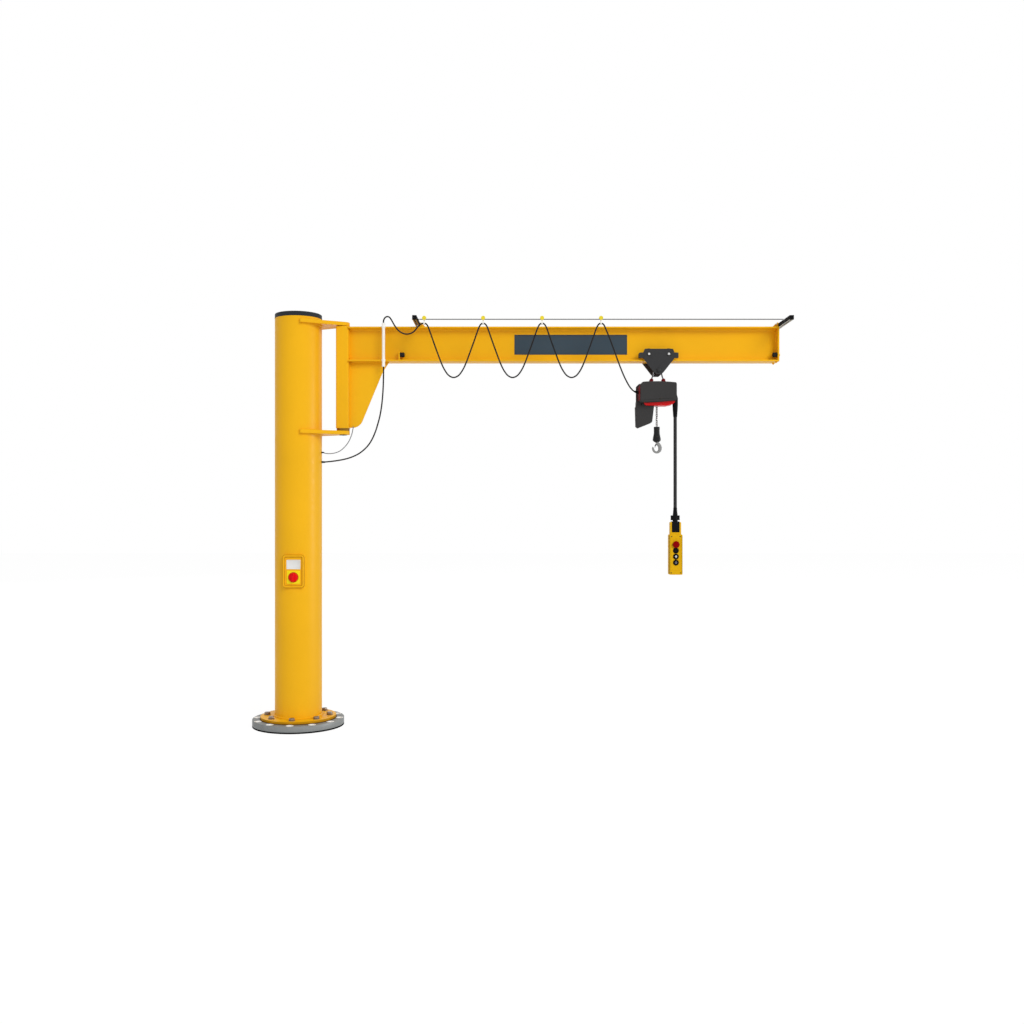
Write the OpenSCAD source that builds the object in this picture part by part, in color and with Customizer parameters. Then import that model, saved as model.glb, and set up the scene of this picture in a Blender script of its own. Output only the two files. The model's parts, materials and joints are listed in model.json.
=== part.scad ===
// Column-mounted slewing jib crane with a push trolley, an electric chain hoist, a pendant
// control and a festoon cable. Millimetres, +Z up, +X along the jib, -Y is the switch side.
// The origin is the column's axis where the base stands on the floor.

/* [Base] */
// Thickness of the levelling pad under the anchor plate
pad_t = 10; // [6:1:16]
// Diameter of the anchor plate
anchor_plate_d = 630; // [620:5:680]
// Thickness of the anchor plate
anchor_plate_t = 40; // [30:1:50]
// Number of anchor holes in the anchor plate
anchor_hole_count = 12; // [6:1:16]
// Diameter of each anchor hole
anchor_hole_d = 42; // [30:1:44]
// Distance from the centres of the anchor holes to the plate's edge
anchor_edge = 29; // [27:1:31]
// Diameter of the column's foot flange
flange_d = 520; // [500:1:524]
// Thickness of the column's foot flange
flange_t = 20; // [15:1:30]
// Number of bolts that hold the foot flange
flange_bolt_count = 8; // [6:1:12]
// Pitch circle diameter of the flange bolts
flange_bolt_pcd = 436; // [410:1:450]
// Leg of the weld between the column and its flange
weld_leg = 8; // [4:1:12]

/* [Column] */
// Outside diameter of the column tube
column_d = 323.9; // [310:0.1:330]
// Wall of the column tube
column_wall = 8; // [6:0.5:12]
// Height of the column tube's top edge above the floor
column_top_z = 2834; // [2825:1:2900]
// Height of the cap on the column
cap_h = 32; // [20:1:40]
// Edge radius of the cap
cap_edge_r = 6; // [3:1:10]
// Wall of the cap
cap_wall = 6; // [4:0.5:8]
// Length of the cap's skirt inside the column
cap_skirt_h = 25; // [15:1:40]

/* [Switch box] */
// Width of the switch box frame
switch_w = 150; // [130:1:170]
// Height of the switch box frame
switch_h = 226; // [210:1:250]
// Height of the switch box centre above the floor
switch_z = 1082; // [900:1:1300]
// How far the switch box stands proud of the column's front
switch_proud = 12; // [10:1:20]
// Width of the frame's raised border
switch_border = 21; // [16:1:26]
// Depth of the recess inside the border
switch_recess = 6; // [4:1:8]
// Side of the square plate under the switch knob
switch_square = 90; // [76:1:96]
// Diameter of the switch knob
switch_knob_d = 64; // [50:1:70]

/* [Pivot] */
// Distance of the slewing axis from the column's axis
pivot_x = 312.5; // [300:0.5:340]
// Thickness of both bracket plates
bracket_t = 25; // [18:1:32]
// Radius of the bracket plates round the slewing axis
bracket_nose_r = 46; // [40:1:54]
// Height of the upper bracket's underside
upper_bracket_z = 2786; // [2780:1:2795]
// Height of the lower bracket's upper face
lower_bracket_z = 2053; // [2000:1:2080]
// Diameter of the pivot pins
pin_d = 40; // [30:1:50]
// Diameter of the pivot pin heads
pin_head_d = 50; // [44:1:56]
// Thickness of the pivot pin heads
pin_head_t = 3; // [2:0.5:8]
// Diameter of the lower bearing
bearing_d = 90; // [80:1:100]
// Height of the lower bearing
bearing_h = 18; // [12:1:24]

/* [Jib] */
// Side of the square jib post
post_w = 89; // [80:1:100]
// Wall of the jib post
post_wall = 8; // [5:0.5:12]
// Height of the beam's underside above the floor
beam_z = 2535; // [2500:1:2540]
// Depth of the jib beam
beam_h = 240; // [220:1:245]
// Flange width of the jib beam
beam_b = 120; // [110:1:130]
// Web thickness of the jib beam
beam_tw = 6.2; // [5:0.1:9]
// Flange thickness of the jib beam
beam_tf = 9.8; // [8:0.1:13]
// Root radius of the jib beam
beam_root_r = 15; // [8:1:18]
// Distance of the beam's free end from the column's axis
beam_end_x = 3340; // [3200:1:3600]
// Thickness of the beam's end plate
end_plate_t = 10; // [6:1:14]
// Thickness of the gusset under the beam
gusset_t = 12; // [8:1:16]
// Length of the gusset along the beam's underside
gusset_l = 277; // [240:1:320]
// Radius at the gusset's lower corner
gusset_r = 75; // [50:1:90]

/* [End stops] */
// Distance of the inner stop plates from the column's axis
stop_x = 706; // [690:1:730]
// Thickness of the stop plates
stop_t = 8; // [5:1:12]
// Height of the stop plates
stop_h = 60; // [56:1:66]
// Diameter of the rubber buffers
buffer_d = 34; // [28:1:38]
// Length of the rubber buffers
buffer_l = 32; // [24:1:40]

/* [Festoon] */
// Side of the square festoon arm rail
rail_w = 28; // [24:1:32]
// Wall of the festoon arm rail
rail_wall = 2.5; // [1.5:0.1:3]
// Width of the slot along the festoon arm rail
rail_slot = 10; // [8:0.5:14]
// Reach of the festoon arms in front of the beam's web
arm_reach = 320; // [290:1:360]
// Distance of the inner arm's centre line from the column's axis
left_arm_x = 841; // [830:1:846]
// Distance of the tension wire in front of the web
wire_y = 220; // [210:1:230]
// Diameter of the tension wire
wire_d = 5; // [4:0.5:6]
// Height of the tension wire above the beam's top
wire_rise = 20; // [18:1:22]
// Distance of the first cable glider from the column's axis
glider_x = 898; // [890:1:906]
// Spacing of the cable gliders
glider_pitch = 400; // [395:1:405]
// Diameter of the glider rollers
roller_d = 28; // [26:1:32]
// Width of the glider rollers
roller_w = 12; // [10:1:16]
// Drop of the loops below the gliders
loop_drop = 367; // [300:1:420]
// Diameter of the festoon and supply cables
cable_d = 10; // [8:0.5:12]
// Diameter of the earth cable
earth_d = 6; // [5:0.5:8]
// Outside diameter of the conduit tube
conduit_d = 21; // [18:0.5:25]
// Wall of the conduit tube
conduit_wall = 2; // [1.5:0.1:3]
// Length of the conduit tube
conduit_l = 299; // [290:1:310]

/* [Trolley] */
// Distance of the trolley's centre from the column's axis
trolley_x = 2511; // [2400:1:2600]
// Thickness of the trolley's side plates
side_t = 8; // [6:0.5:10]
// Gap between the side plates
side_gap = 142; // [138:1:150]
// Distance between the wheel axles
axle_pitch = 137; // [120:1:150]
// Diameter of the wheel tread
wheel_d = 74; // [66:0.5:80]
// Diameter of the wheel flange
wheel_flange_d = 86; // [82:0.5:92]
// Diameter of the wheel axles
axle_d = 16; // [12:1:18]
// Diameter of the axle heads
axle_head_d = 22; // [20:1:26]
// Diameter of the cross bolt that carries the hoist
cross_bolt_d = 18; // [14:1:20]
// Distance of the cross bolt below the wheel axles
cross_bolt_drop = 112; // [108:1:116]

/* [Hoist] */
// Diameter of the hoist's suspension rod
bail_d = 10; // [8:0.5:12]
// Distance between the legs of the suspension rod
bail_w = 80; // [74:1:86]
// Width of the hoist along the jib
hoist_w = 254; // [250:1:258]
// Height of the hoist body
hoist_h = 140; // [130:1:150]
// Depth of the red hoist body
hoist_depth = 96; // [90:1:110]
// Depth of each hoist cover
cover_depth = 46; // [36:1:56]
// Height of the hoist body's top above the floor
hoist_top_z = 2396; // [2392:1:2400]
// Corner radius of the hoist covers
cover_r = 12; // [6:1:18]

/* [Load chain] */
// Diameter of the chain wire
chain_d = 5; // [4:0.25:5.25]
// Pitch of the chain links
chain_pitch = 15.1; // [14.6:0.1:16]
// Outside width of the chain links
chain_w = 17; // [16:0.25:18]
// Number of chain links above the hook block
chain_links = 11; // [10:1:11]
// Height of the hook block's top above the floor
block_top_z = 2083; // [2060:1:2100]
// Diameter of the hook block's lower rim
block_d = 57; // [50:1:64]
// Height of the hook block
block_h = 106; // [96:1:116]

/* [Hook] */
// Inside radius of the hook's bowl
hook_r = 16; // [13:0.5:18]
// Thickness of the hook
hook_d = 18; // [14:0.5:20]
// Diameter of the hook's shank
shank_d = 16; // [12:0.5:18]

/* [Pendant] */
// Distance of the pendant from the column's axis
pendant_x = 2636; // [2630:1:2640]
// Diameter of the pendant cable
pendant_cable_d = 24; // [18:1:26]
// Height of the pendant's top edge above the floor
pendant_top_z = 1331; // [1325:1:1340]
// Width of the pendant housing
pendant_w = 92; // [84:1:100]
// Height of the pendant housing
pendant_h = 281; // [260:1:300]
// Depth of the pendant housing
pendant_depth = 66; // [56:1:76]
// Spacing of the push buttons
button_pitch = 42; // [38:1:44]
// Diameter of the emergency stop head
estop_d = 46; // [38:1:50]
// Diameter of the push buttons
button_d = 27; // [22:1:30]

/* [Clearances] */
// Clearance of fitted pieces
fit = 0.5; // [0.2:0.1:1]
// Radial clearance of running pins
run = 0.1; // [0.05:0.05:0.3]

/* [Hidden] */

$fn = 48;
eps = 0.01;
tuck = 0.03;
BEHIND = 1;
FRONT = -1;

yellow = [0.96, 0.69, 0.10];
anthracite = [0.17, 0.18, 0.20];
dark_grey = [0.25, 0.25, 0.26];
black = [0.08, 0.08, 0.09];
steel = [0.62, 0.63, 0.64];
plate_grey = [0.57, 0.59, 0.59];
signal_red = [0.82, 0.10, 0.12];
lemon = [0.96, 0.86, 0.10];
pendant_yellow = [0.90, 0.70, 0.06];

// Base levels
anchor_plate_z = pad_t;
flange_z = anchor_plate_z + anchor_plate_t;
anchor_pcd = anchor_plate_d - 2 * anchor_edge;
flange_top_z = flange_z + flange_t;
column_r = column_d / 2;
bolt_d = 24;
bolt_head_af = 36;
bolt_head_h = 15;
washer_d = 44;
washer_t = 4;
bolt_grip = 30;

// Column openings
supply_z = 1837;
earth_z = 1904;
gland_d = 18;

// Pivot levels
ear_r = 12;
ear_x = 53;
post_gap = 4;
post_z = lower_bracket_z + bearing_h + fit;
post_top_z = upper_bracket_z - post_gap;
post_plate_t = 20;
post_corner_r = 8;
pin_reach = 16;

// Jib levels
beam_start_x = pivot_x + post_w / 2;
beam_top_z = beam_z + beam_h;
rail_z = beam_z + beam_tf;
end_x = beam_end_x + end_plate_t;
right_arm_x = end_x + rail_w / 2;
arm_back_y = 40;

// Trolley levels: the wheels roll on the beam's lower flange
axle_z = rail_z + wheel_d / 2;
buffer_z = axle_z;
buffer_y = 35;
side_y = side_gap / 2;
cross_bolt_z = axle_z - cross_bolt_drop;
ear_half = 136;
tab_t = 8;
tab_y = 28;

// Festoon
wire_z = beam_top_z + wire_rise;
glider_count = 4;
clip_z = wire_z - 28;
roller_z = wire_z + 9;
groove_r = roller_z - wire_z - wire_d / 2 - fit;
groove_half = wire_d / 2 + fit;
clip_gap = 2;

// Hoist
hoist_left_x = 2378;
chain_x = 2507;
hoist_z = hoist_top_z - hoist_h;
chain_bore_d = 28;
chain_bore_top_z = hoist_top_z - 12;
chain_bottom_z = block_top_z - 8;
link_slack = 0.1;

// ---------------------------------------------------------------- helpers

// Extrudes a profile drawn in Y and Z along +X from x
module along_x(x, len) translate([x, 0, 0]) rotate([90, 0, 90]) linear_extrude(len) children();

// Extrudes a profile drawn in X and Z towards +Y, from y
module along_y(y, len) translate([0, y + len, 0]) rotate([90, 0, 0]) linear_extrude(len) children();

// Cylinder along Y from y to y + len
module rod_y(x, y, z, d, len) translate([x, y, z]) rotate([-90, 0, 0]) cylinder(d = d, h = len);

// Cylinder along X from x to x + len
module rod_x(x, y, z, d, len) translate([x, y, z]) rotate([0, 90, 0]) cylinder(d = d, h = len);

// Rectangle with round corners, centred
module round_rect(w, h, r) {
    square([w - 2 * r, h], center = true);
    square([w, h - 2 * r], center = true);
    for (x = [-1, 1], y = [-1, 1]) translate([x * (w / 2 - r), y * (h / 2 - r)]) circle(r);
}

// Points of the arc that rounds corner b of the path a, b, c with radius r
function arc_corner(a, b, c, r) = let(
    n = r > 15 ? 8 : r > 5 ? 5 : 3,
    u = (a - b) / norm(a - b),
    v = (c - b) / norm(c - b),
    half = acos(u * v) / 2,
    centre = b + (u + v) / norm(u + v) * r / sin(half),
    p = b + u * r / tan(half) - centre,
    q = b + v * r / tan(half) - centre,
    start = atan2(p[1], p[0]),
    turn = (atan2(q[1], q[0]) - start + 540) % 360 - 180
) [for (i = [0:n]) centre + r * [cos(start + turn * i / n), sin(start + turn * i / n)]];

// Points of a closed outline whose corner i has radius radii[i], or stays sharp at 0
function rounded(points, radii) = let(n = len(points)) [
    for (i = [0:n - 1])
        each radii[i] == 0 ? [points[i]]
            : arc_corner(points[(i + n - 1) % n], points[i], points[(i + 1) % n], radii[i])
];

// Flat bar along Z that wraps two circles, with true arcs at both ends; its straight sides are
// tucked in by a hair, so that they cross the arcs instead of only touching them
module belt(p, rp, q, rq, h) {
    base = atan2(q[1] - p[1], q[0] - p[0]);
    lean = acos((rp - rq) / norm(q - p));
    up = [cos(base + lean), sin(base + lean)];
    down = [cos(base - lean), sin(base - lean)];
    translate(p) cylinder(r = rp, h = h);
    translate(q) cylinder(r = rq, h = h);
    linear_extrude(h) polygon([
        p + (rp - tuck) * up, q + (rq - tuck) * up, q + (rq - tuck) * down, p + (rp - tuck) * down
    ]);
}

// Round bar that follows a list of points, which never runs along Y; d is one diameter, or one
// for each point
module sweep(points, d, sides = 8) {
    n = len(points);
    function width(i) = is_list(d) ? d[i] : d;
    function heading(i) = let(v = points[min(i + 1, n - 1)] - points[max(i - 1, 0)]) v / norm(v);
    function side(i) = let(s = cross([0, 1, 0], heading(i))) s / norm(s);
    function lift(i) = cross(heading(i), side(i));
    rings = [
        for (i = [0:n - 1], k = [0:sides - 1])
            points[i] + width(i) / 2 * (cos(360 * k / sides) * side(i) + sin(360 * k / sides) * lift(i))
    ];
    walls = [
        for (i = [0:n - 2], k = [0:sides - 1]) let(j = (k + 1) % sides) each [
            [i * sides + k, (i + 1) * sides + k, i * sides + j],
            [i * sides + j, (i + 1) * sides + k, (i + 1) * sides + j]
        ]
    ];
    first = [[for (k = [0:sides - 1]) k]];
    last = [[for (k = [sides - 1:-1:0]) (n - 1) * sides + k]];
    polyhedron(rings, concat(walls, first, last), convexity = 6);
}

// Copies round the Z axis, with the first one at the front
module ring_of(count, r) for (i = [0:count - 1]) rotate(360 * i / count - 90) translate([r, 0]) children();

// ---------------------------------------------------------------- base and column

module floor_pad() color(black) linear_extrude(pad_t) difference() {
    circle(d = anchor_plate_d, $fn = 96);
    ring_of(anchor_hole_count, anchor_pcd / 2) circle(d = anchor_hole_d);
}

module anchor_plate() color(plate_grey) difference() {
    translate([0, 0, anchor_plate_z]) cylinder(d = anchor_plate_d, h = anchor_plate_t, $fn = 96);
    translate([0, 0, anchor_plate_z - 1]) ring_of(anchor_hole_count, anchor_pcd / 2)
        cylinder(d = anchor_hole_d, h = anchor_plate_t + 2);
    translate([0, 0, flange_z - bolt_grip - fit]) ring_of(flange_bolt_count, flange_bolt_pcd / 2)
        cylinder(d = bolt_d + fit, h = bolt_grip + 2);
}

module base_flange() color(yellow) difference() {
    rotate_extrude($fn = 96) polygon([
        [column_r, flange_z], [flange_d / 2, flange_z], [flange_d / 2, flange_top_z],
        [column_r + weld_leg, flange_top_z], [column_r, flange_top_z + weld_leg]
    ]);
    translate([0, 0, flange_z - 1]) ring_of(flange_bolt_count, flange_bolt_pcd / 2)
        cylinder(d = bolt_d + 2, h = flange_t + 2);
}

module flange_bolts() color(steel) ring_of(flange_bolt_count, flange_bolt_pcd / 2) {
    translate([0, 0, flange_z - bolt_grip]) cylinder(d = bolt_d, h = bolt_grip + flange_t + eps);
    translate([0, 0, flange_top_z]) cylinder(d = washer_d, h = washer_t);
    translate([0, 0, flange_top_z + washer_t])
        rotate(30) cylinder(r = bolt_head_af / 2 / cos(30), h = bolt_head_h, $fn = 6);
}

module column_tube() color(yellow) difference() {
    translate([0, 0, flange_z]) cylinder(r = column_r, h = column_top_z - flange_z, $fn = 96);
    translate([0, 0, flange_z - 1])
        cylinder(r = column_r - column_wall, h = column_top_z - flange_z + 2, $fn = 96);
    for (z = [supply_z, earth_z]) rod_x(0, 0, z, gland_d, column_r + 5);
}

// Hollow cap with a skirt that sits inside the tube
module column_cap() color(anthracite) rotate_extrude($fn = 96) {
    skirt_r = column_r - column_wall - fit;
    polygon(concat(
        [[skirt_r - cap_wall, column_top_z - cap_skirt_h], [skirt_r, column_top_z - cap_skirt_h],
            [skirt_r, column_top_z], [column_r, column_top_z]],
        [for (a = [0:15:90]) [column_r - cap_edge_r + cap_edge_r * cos(a),
            column_top_z + cap_h - cap_edge_r + cap_edge_r * sin(a)]],
        [[0, column_top_z + cap_h], [0, column_top_z + cap_h - cap_wall],
            [skirt_r - cap_wall, column_top_z + cap_h - cap_wall]]
    ));
}

// Plate that is welded round the column and carries the slewing axis
module pivot_bracket(z) translate([0, 0, z]) difference() {
    ear_y = sqrt(column_r * column_r - ear_x * ear_x) + ear_r;
    union() {
        for (s = [-1, 1]) belt([ear_x, s * ear_y], ear_r, [pivot_x, 0], bracket_nose_r, bracket_t);
        linear_extrude(bracket_t)
            polygon([[ear_x, ear_y], [pivot_x, 10], [pivot_x, -10], [ear_x, -ear_y]]);
    }
    translate([0, 0, -1]) cylinder(r = column_r, h = bracket_t + 2, $fn = 96);
    translate([pivot_x, 0, -1]) cylinder(d = pin_d, h = bracket_t + 2);
}

module upper_bracket() color(yellow) pivot_bracket(upper_bracket_z);

module lower_bracket() color(yellow) pivot_bracket(lower_bracket_z - bracket_t);

module lower_bearing() color(dark_grey) translate([pivot_x, 0, lower_bracket_z]) difference() {
    cylinder(d = bearing_d, h = bearing_h);
    translate([0, 0, -1]) cylinder(d = pin_d, h = bearing_h + 2);
}

module pivot_pins() color(steel) translate([pivot_x, 0, 0]) {
    translate([0, 0, upper_bracket_z - post_gap - pin_reach])
        cylinder(d = pin_d, h = pin_reach + post_gap + bracket_t);
    translate([0, 0, upper_bracket_z + bracket_t - eps]) cylinder(d = pin_head_d, h = pin_head_t);
    translate([0, 0, lower_bracket_z - bracket_t])
        cylinder(d = pin_d, h = post_z + pin_reach - lower_bracket_z + bracket_t);
    translate([0, 0, lower_bracket_z - bracket_t - pin_head_t])
        cylinder(d = pin_head_d, h = pin_head_t + eps);
}

// ---------------------------------------------------------------- main switch

switch_front_y = -column_r - switch_proud;
switch_floor_y = switch_front_y + switch_recess;
knob_z = switch_z - switch_h / 2 + switch_border + switch_square / 2 + 6;
switch_plate_t = 3;
switch_plate_y = switch_floor_y - switch_plate_t;
knob_gap = 1;
knob_shaft_d = 12;

module switch_frame() color(yellow) difference() {
    along_y(switch_front_y, column_r * 0.4) translate([0, switch_z]) round_rect(switch_w, switch_h, 10);
    translate([0, 0, switch_z - switch_h]) cylinder(r = column_r, h = 2 * switch_h, $fn = 96);
    along_y(switch_front_y - 1, switch_recess + 1) translate([0, switch_z])
        round_rect(switch_w - 2 * switch_border, switch_h - 2 * switch_border, 3);
}

// Square plate in the recess, with the bore that the knob's shaft turns in
module switch_plate() color(lemon) difference() {
    along_y(switch_plate_y, switch_plate_t) translate([0, knob_z])
        round_rect(switch_square, switch_square, 4);
    rod_y(0, switch_plate_y - 1, knob_z, knob_shaft_d + 2 * run, switch_plate_t + 2);
}

module switch_knob() color(signal_red) {
    rod_y(0, switch_plate_y - knob_gap - 17, knob_z, switch_knob_d, 17);
    along_y(switch_plate_y - knob_gap - 33, 17) translate([0, knob_z])
        round_rect(18, switch_knob_d - 8, 6);
    rod_y(0, switch_plate_y - knob_gap - eps, knob_z, knob_shaft_d, knob_gap + switch_plate_t);
}

// ---------------------------------------------------------------- jib

module jib_post() color(yellow) difference() {
    translate([pivot_x, 0, post_z]) linear_extrude(post_top_z - post_z)
        round_rect(post_w, post_w, post_corner_r);
    translate([pivot_x, 0, post_z + post_plate_t])
        linear_extrude(post_top_z - post_z - 2 * post_plate_t)
            round_rect(post_w - 2 * post_wall, post_w - 2 * post_wall, post_corner_r / 2);
    translate([pivot_x, 0, post_z - 1]) cylinder(r = pin_d / 2 + run, h = post_plate_t + 2);
    translate([pivot_x, 0, post_top_z - post_plate_t - 1])
        cylinder(r = pin_d / 2 + run, h = post_plate_t + 2);
}

module beam_profile() {
    web_h = beam_h - 2 * beam_tf;
    mid = beam_h / 2;
    for (s = [-1, 1]) translate([0, mid + s * (mid - beam_tf / 2)])
        square([beam_b, beam_tf], center = true);
    translate([0, mid]) square([beam_tw, web_h + eps], center = true);
    for (sy = [-1, 1], sz = [-1, 1])
        translate([sy * beam_tw / 2, mid + sz * web_h / 2]) scale([sy, -sz]) difference() {
            square(beam_root_r);
            translate([beam_root_r, beam_root_r]) circle(beam_root_r);
        }
}

module jib_beam() color(yellow) along_x(beam_start_x, beam_end_x - beam_start_x)
    translate([0, beam_z]) beam_profile();

module gusset_plate() color(yellow) {
    foot_z = post_z + 5;
    corner = [beam_start_x + 71, foot_z];
    knee = [beam_start_x + gusset_l - 44, beam_z - 68];
    outline = rounded(
        [[beam_start_x, beam_z], [beam_start_x, foot_z], corner, knee,
            [beam_start_x + gusset_l, beam_z]],
        [0, 0, gusset_r, 90, 0]
    );
    along_y(-gusset_t / 2, gusset_t) polygon(outline);
}

module end_plate() color(yellow) difference() {
    along_x(beam_end_x, end_plate_t) translate([-beam_b / 2, beam_z]) square([beam_b, beam_h]);
    for (s = [-1, 1]) rod_x(beam_end_x - 1, s * buffer_y, buffer_z, 10, end_plate_t + 2);
}

module stop_plates() color(yellow) for (s = [-1, 1]) difference() {
    along_x(stop_x, stop_t) scale([s, 1]) polygon([
        [beam_tw / 2, rail_z + beam_root_r], [beam_tw / 2 + beam_root_r, rail_z],
        [beam_b / 2 - 2, rail_z], [beam_b / 2 - 2, rail_z + stop_h], [beam_tw / 2, rail_z + stop_h]
    ]);
    rod_x(stop_x - 1, s * buffer_y, buffer_z, 10, stop_t + 2);
}

module buffers() color(black) for (s = [-1, 1]) {
    rod_x(stop_x + stop_t, s * buffer_y, buffer_z, buffer_d, buffer_l);
    rod_x(stop_x - 8, s * buffer_y, buffer_z, 9, stop_t + 8 + eps);
    rod_x(beam_end_x - buffer_l, s * buffer_y, buffer_z, buffer_d, buffer_l);
    rod_x(beam_end_x - eps, s * buffer_y, buffer_z, 9, end_plate_t + 6);
}

// ---------------------------------------------------------------- festoon

conduit_x = 604;
conduit_y = -75;
conduit_z = 2495;

module conduit_tube() color("white") {
    translate([conduit_x, conduit_y, conduit_z]) difference() {
        cylinder(d = conduit_d, h = conduit_l);
        translate([0, 0, -1]) cylinder(r = conduit_d / 2 - conduit_wall, h = conduit_l + 2);
    }
    for (z = [beam_z - 1, beam_top_z - 11]) translate([conduit_x, conduit_y, z]) difference() {
        union() {
            cylinder(d = conduit_d + 6, h = 12);
            translate([-6, 0, 0]) cube([12, -beam_b / 2 - conduit_y, 12]);
        }
        translate([0, 0, -1]) cylinder(d = conduit_d - eps, h = 14);
    }
}

// Square rail with a slot along its underside
module rail_profile() difference() {
    square([rail_w, rail_w], center = true);
    square([rail_w - 2 * rail_wall, rail_w - 2 * rail_wall], center = true);
    translate([-rail_slot / 2, -rail_w / 2 - 1]) square([rail_slot, rail_wall + 2]);
}

// Festoon arm, with its foot bracket on the side given by s
module festoon_arm(x, s) {
    color(black) difference() {
        along_y(-arm_reach, arm_reach + arm_back_y) translate([x, beam_top_z + rail_w / 2])
            rail_profile();
        rod_x(x - rail_w, -wire_y, wire_z, wire_d + 1, 2 * rail_w);
    }
    color(black) translate([x - rail_w / 2, -arm_reach - 3, beam_top_z]) cube([rail_w, 3 + eps, rail_w]);
    color(yellow) translate([x + s * rail_w / 2, 0, beam_top_z]) scale([s, 1, 1]) {
        translate([0, -30, 0]) cube([6, 60, 34]);
        translate([6 - eps, -4, 0]) rotate([90, 0, 0]) translate([0, 0, -8]) linear_extrude(8)
            polygon([[0, 0], [38, 0], [0, 34]]);
    }
}

module left_arm() festoon_arm(left_arm_x, 1);

module right_arm() {
    festoon_arm(right_arm_x, -1);
    color(yellow) translate([end_x - 6, -30, beam_top_z - eps]) cube([6, 60, 4]);
}

module tension_wire() color(steel) {
    from = left_arm_x - rail_w / 2 - 12;
    to = right_arm_x + rail_w / 2 + 12;
    rod_x(from, -wire_y, wire_z, wire_d, to - from);
    for (x = [left_arm_x - rail_w / 2 - 6, right_arm_x + rail_w / 2 + 1])
        rod_x(x, -wire_y, wire_z, 12, 5);
}

// Glider that rolls on the tension wire and carries the cable in a ring below it
module glider(i) translate([glider_x + i * glider_pitch, -wire_y, 0]) {
    color(lemon) translate([0, 0, roller_z]) rotate([90, 0, 0]) rotate_extrude() polygon([
        [0, -roller_w / 2], [roller_d / 2, -roller_w / 2], [roller_d / 2, -groove_half - 1],
        [groove_r, -groove_half], [groove_r, groove_half], [roller_d / 2, groove_half + 1],
        [roller_d / 2, roller_w / 2], [0, roller_w / 2]
    ]);
    color(lemon) {
        translate([-3, roller_w / 2 - eps, clip_z]) cube([6, 2.5, roller_z - clip_z]);
        translate([0, roller_w / 2, roller_z]) rotate([-90, 0, 0]) cylinder(d = 10, h = 2.5);
        difference() {
            translate([-5, 0, clip_z]) rotate([0, 90, 0]) cylinder(r = cable_d / 2 + 4, h = 10);
            translate([-6, 0, clip_z]) rotate([0, 90, 0]) cylinder(r = cable_d / 2 + 0.8, h = 12);
        }
    }
}

module glider_1() glider(0);
module glider_2() glider(1);
module glider_3() glider(2);
module glider_4() glider(3);

// Half of a loop, from its glider down to its lowest point, as shares of pitch and drop
half_loop = [
    [0.012, 0], [0.03, -0.008], [0.05, -0.03], [0.07, -0.07], [0.09, -0.125], [0.125, -0.235],
    [0.165, -0.36], [0.205, -0.48], [0.245, -0.6], [0.285, -0.715], [0.325, -0.815],
    [0.37, -0.9], [0.415, -0.96], [0.46, -0.99], [0.5, -1]
];

function loop_point(i, p) = [
    glider_x + (i + p[0]) * glider_pitch, -wire_y, clip_z + p[1] * loop_drop
];

function loop_route(i) = concat(
    [loop_point(i, [0, 0]) + [clip_gap, 0, 0]],
    [for (p = half_loop) loop_point(i, p)],
    [for (k = [len(half_loop) - 2:-1:0]) loop_point(i, [1 - half_loop[k][0], half_loop[k][1]])],
    [loop_point(i, [1, 0]) - [clip_gap, 0, 0]]
);

supply_route = [
    [164, 0, 1837], [190, -1, 1838], [226, -3, 1841], [280, -8, 1848], [328, -14, 1857],
    [376, -20, 1871], [424, -28, 1893], [462, -36, 1920], [494, -42, 1952], [520, -50, 1990],
    [543, -58, 2038], [562, -65, 2093], [580, -70, 2160], [593, -74, 2240], [601, -75, 2335],
    [604, -75, 2430], [604, -75, 2495]
];
earth_route = [
    [164, 0, 1904], [190, -1, 1898], [223, -2, 1896], [261, -4, 1902], [293, -6, 1916],
    [322, -8, 1940], [346, -9, 1969], [364, -10, 2003], [377, -10, 2040], [385, -10, 2085]
];
riser_route = [
    [604, -75, 2794], [604, -75, 2810], [610, -76, 2827], [622, -78, 2838], [638, -81, 2839],
    [652, -88, 2828], [667, -96, 2804], [680, -104, 2780], [696, -115, 2757], [713, -127, 2736],
    [735, -143, 2718], [765, -163, 2705], [795, -178, 2704], [820, -190, 2713], [840, -200, 2730],
    [856, -207, 2750], [873, -214, 2763], [885, -219, 2767], [896, -220, 2767]
];
hoist_route = [
    [2100, -220, 2767], [2104, -220, 2767], [2112, -219, 2763], [2121, -217, 2752],
    [2134, -212, 2724], [2150, -204, 2690], [2170, -192, 2643], [2192, -176, 2590],
    [2215, -157, 2534], [2238, -136, 2481], [2262, -112, 2432], [2285, -88, 2393],
    [2306, -64, 2363], [2327, -40, 2342], [2346, -20, 2330], [2366, -6, 2325]
];

module supply_cable() color(black) sweep(supply_route, cable_d);
module earth_cable() color(steel) sweep(earth_route, earth_d);
module riser_cable() color(black) sweep(riser_route, cable_d);
module festoon_loop_1() color(black) sweep(loop_route(0), cable_d);
module festoon_loop_2() color(black) sweep(loop_route(1), cable_d);
module festoon_loop_3() color(black) sweep(loop_route(2), cable_d);
module hoist_cable() color(black) sweep(hoist_route, cable_d);

// ---------------------------------------------------------------- trolley

module side_outline() {
    half = [[98, 36], [107, 11], [ear_half, 9], [ear_half, -27], [109, -28], [94, -48], [32, -127], [18, -139]];
    points = concat(half, [for (k = [len(half) - 1:-1:0]) [-half[k][0], half[k][1]]]);
    radii = [8, 0, 3, 3, 6, 20, 12, 14, 14, 12, 20, 6, 3, 3, 0, 8];
    polygon(rounded(points, radii));
}

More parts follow.
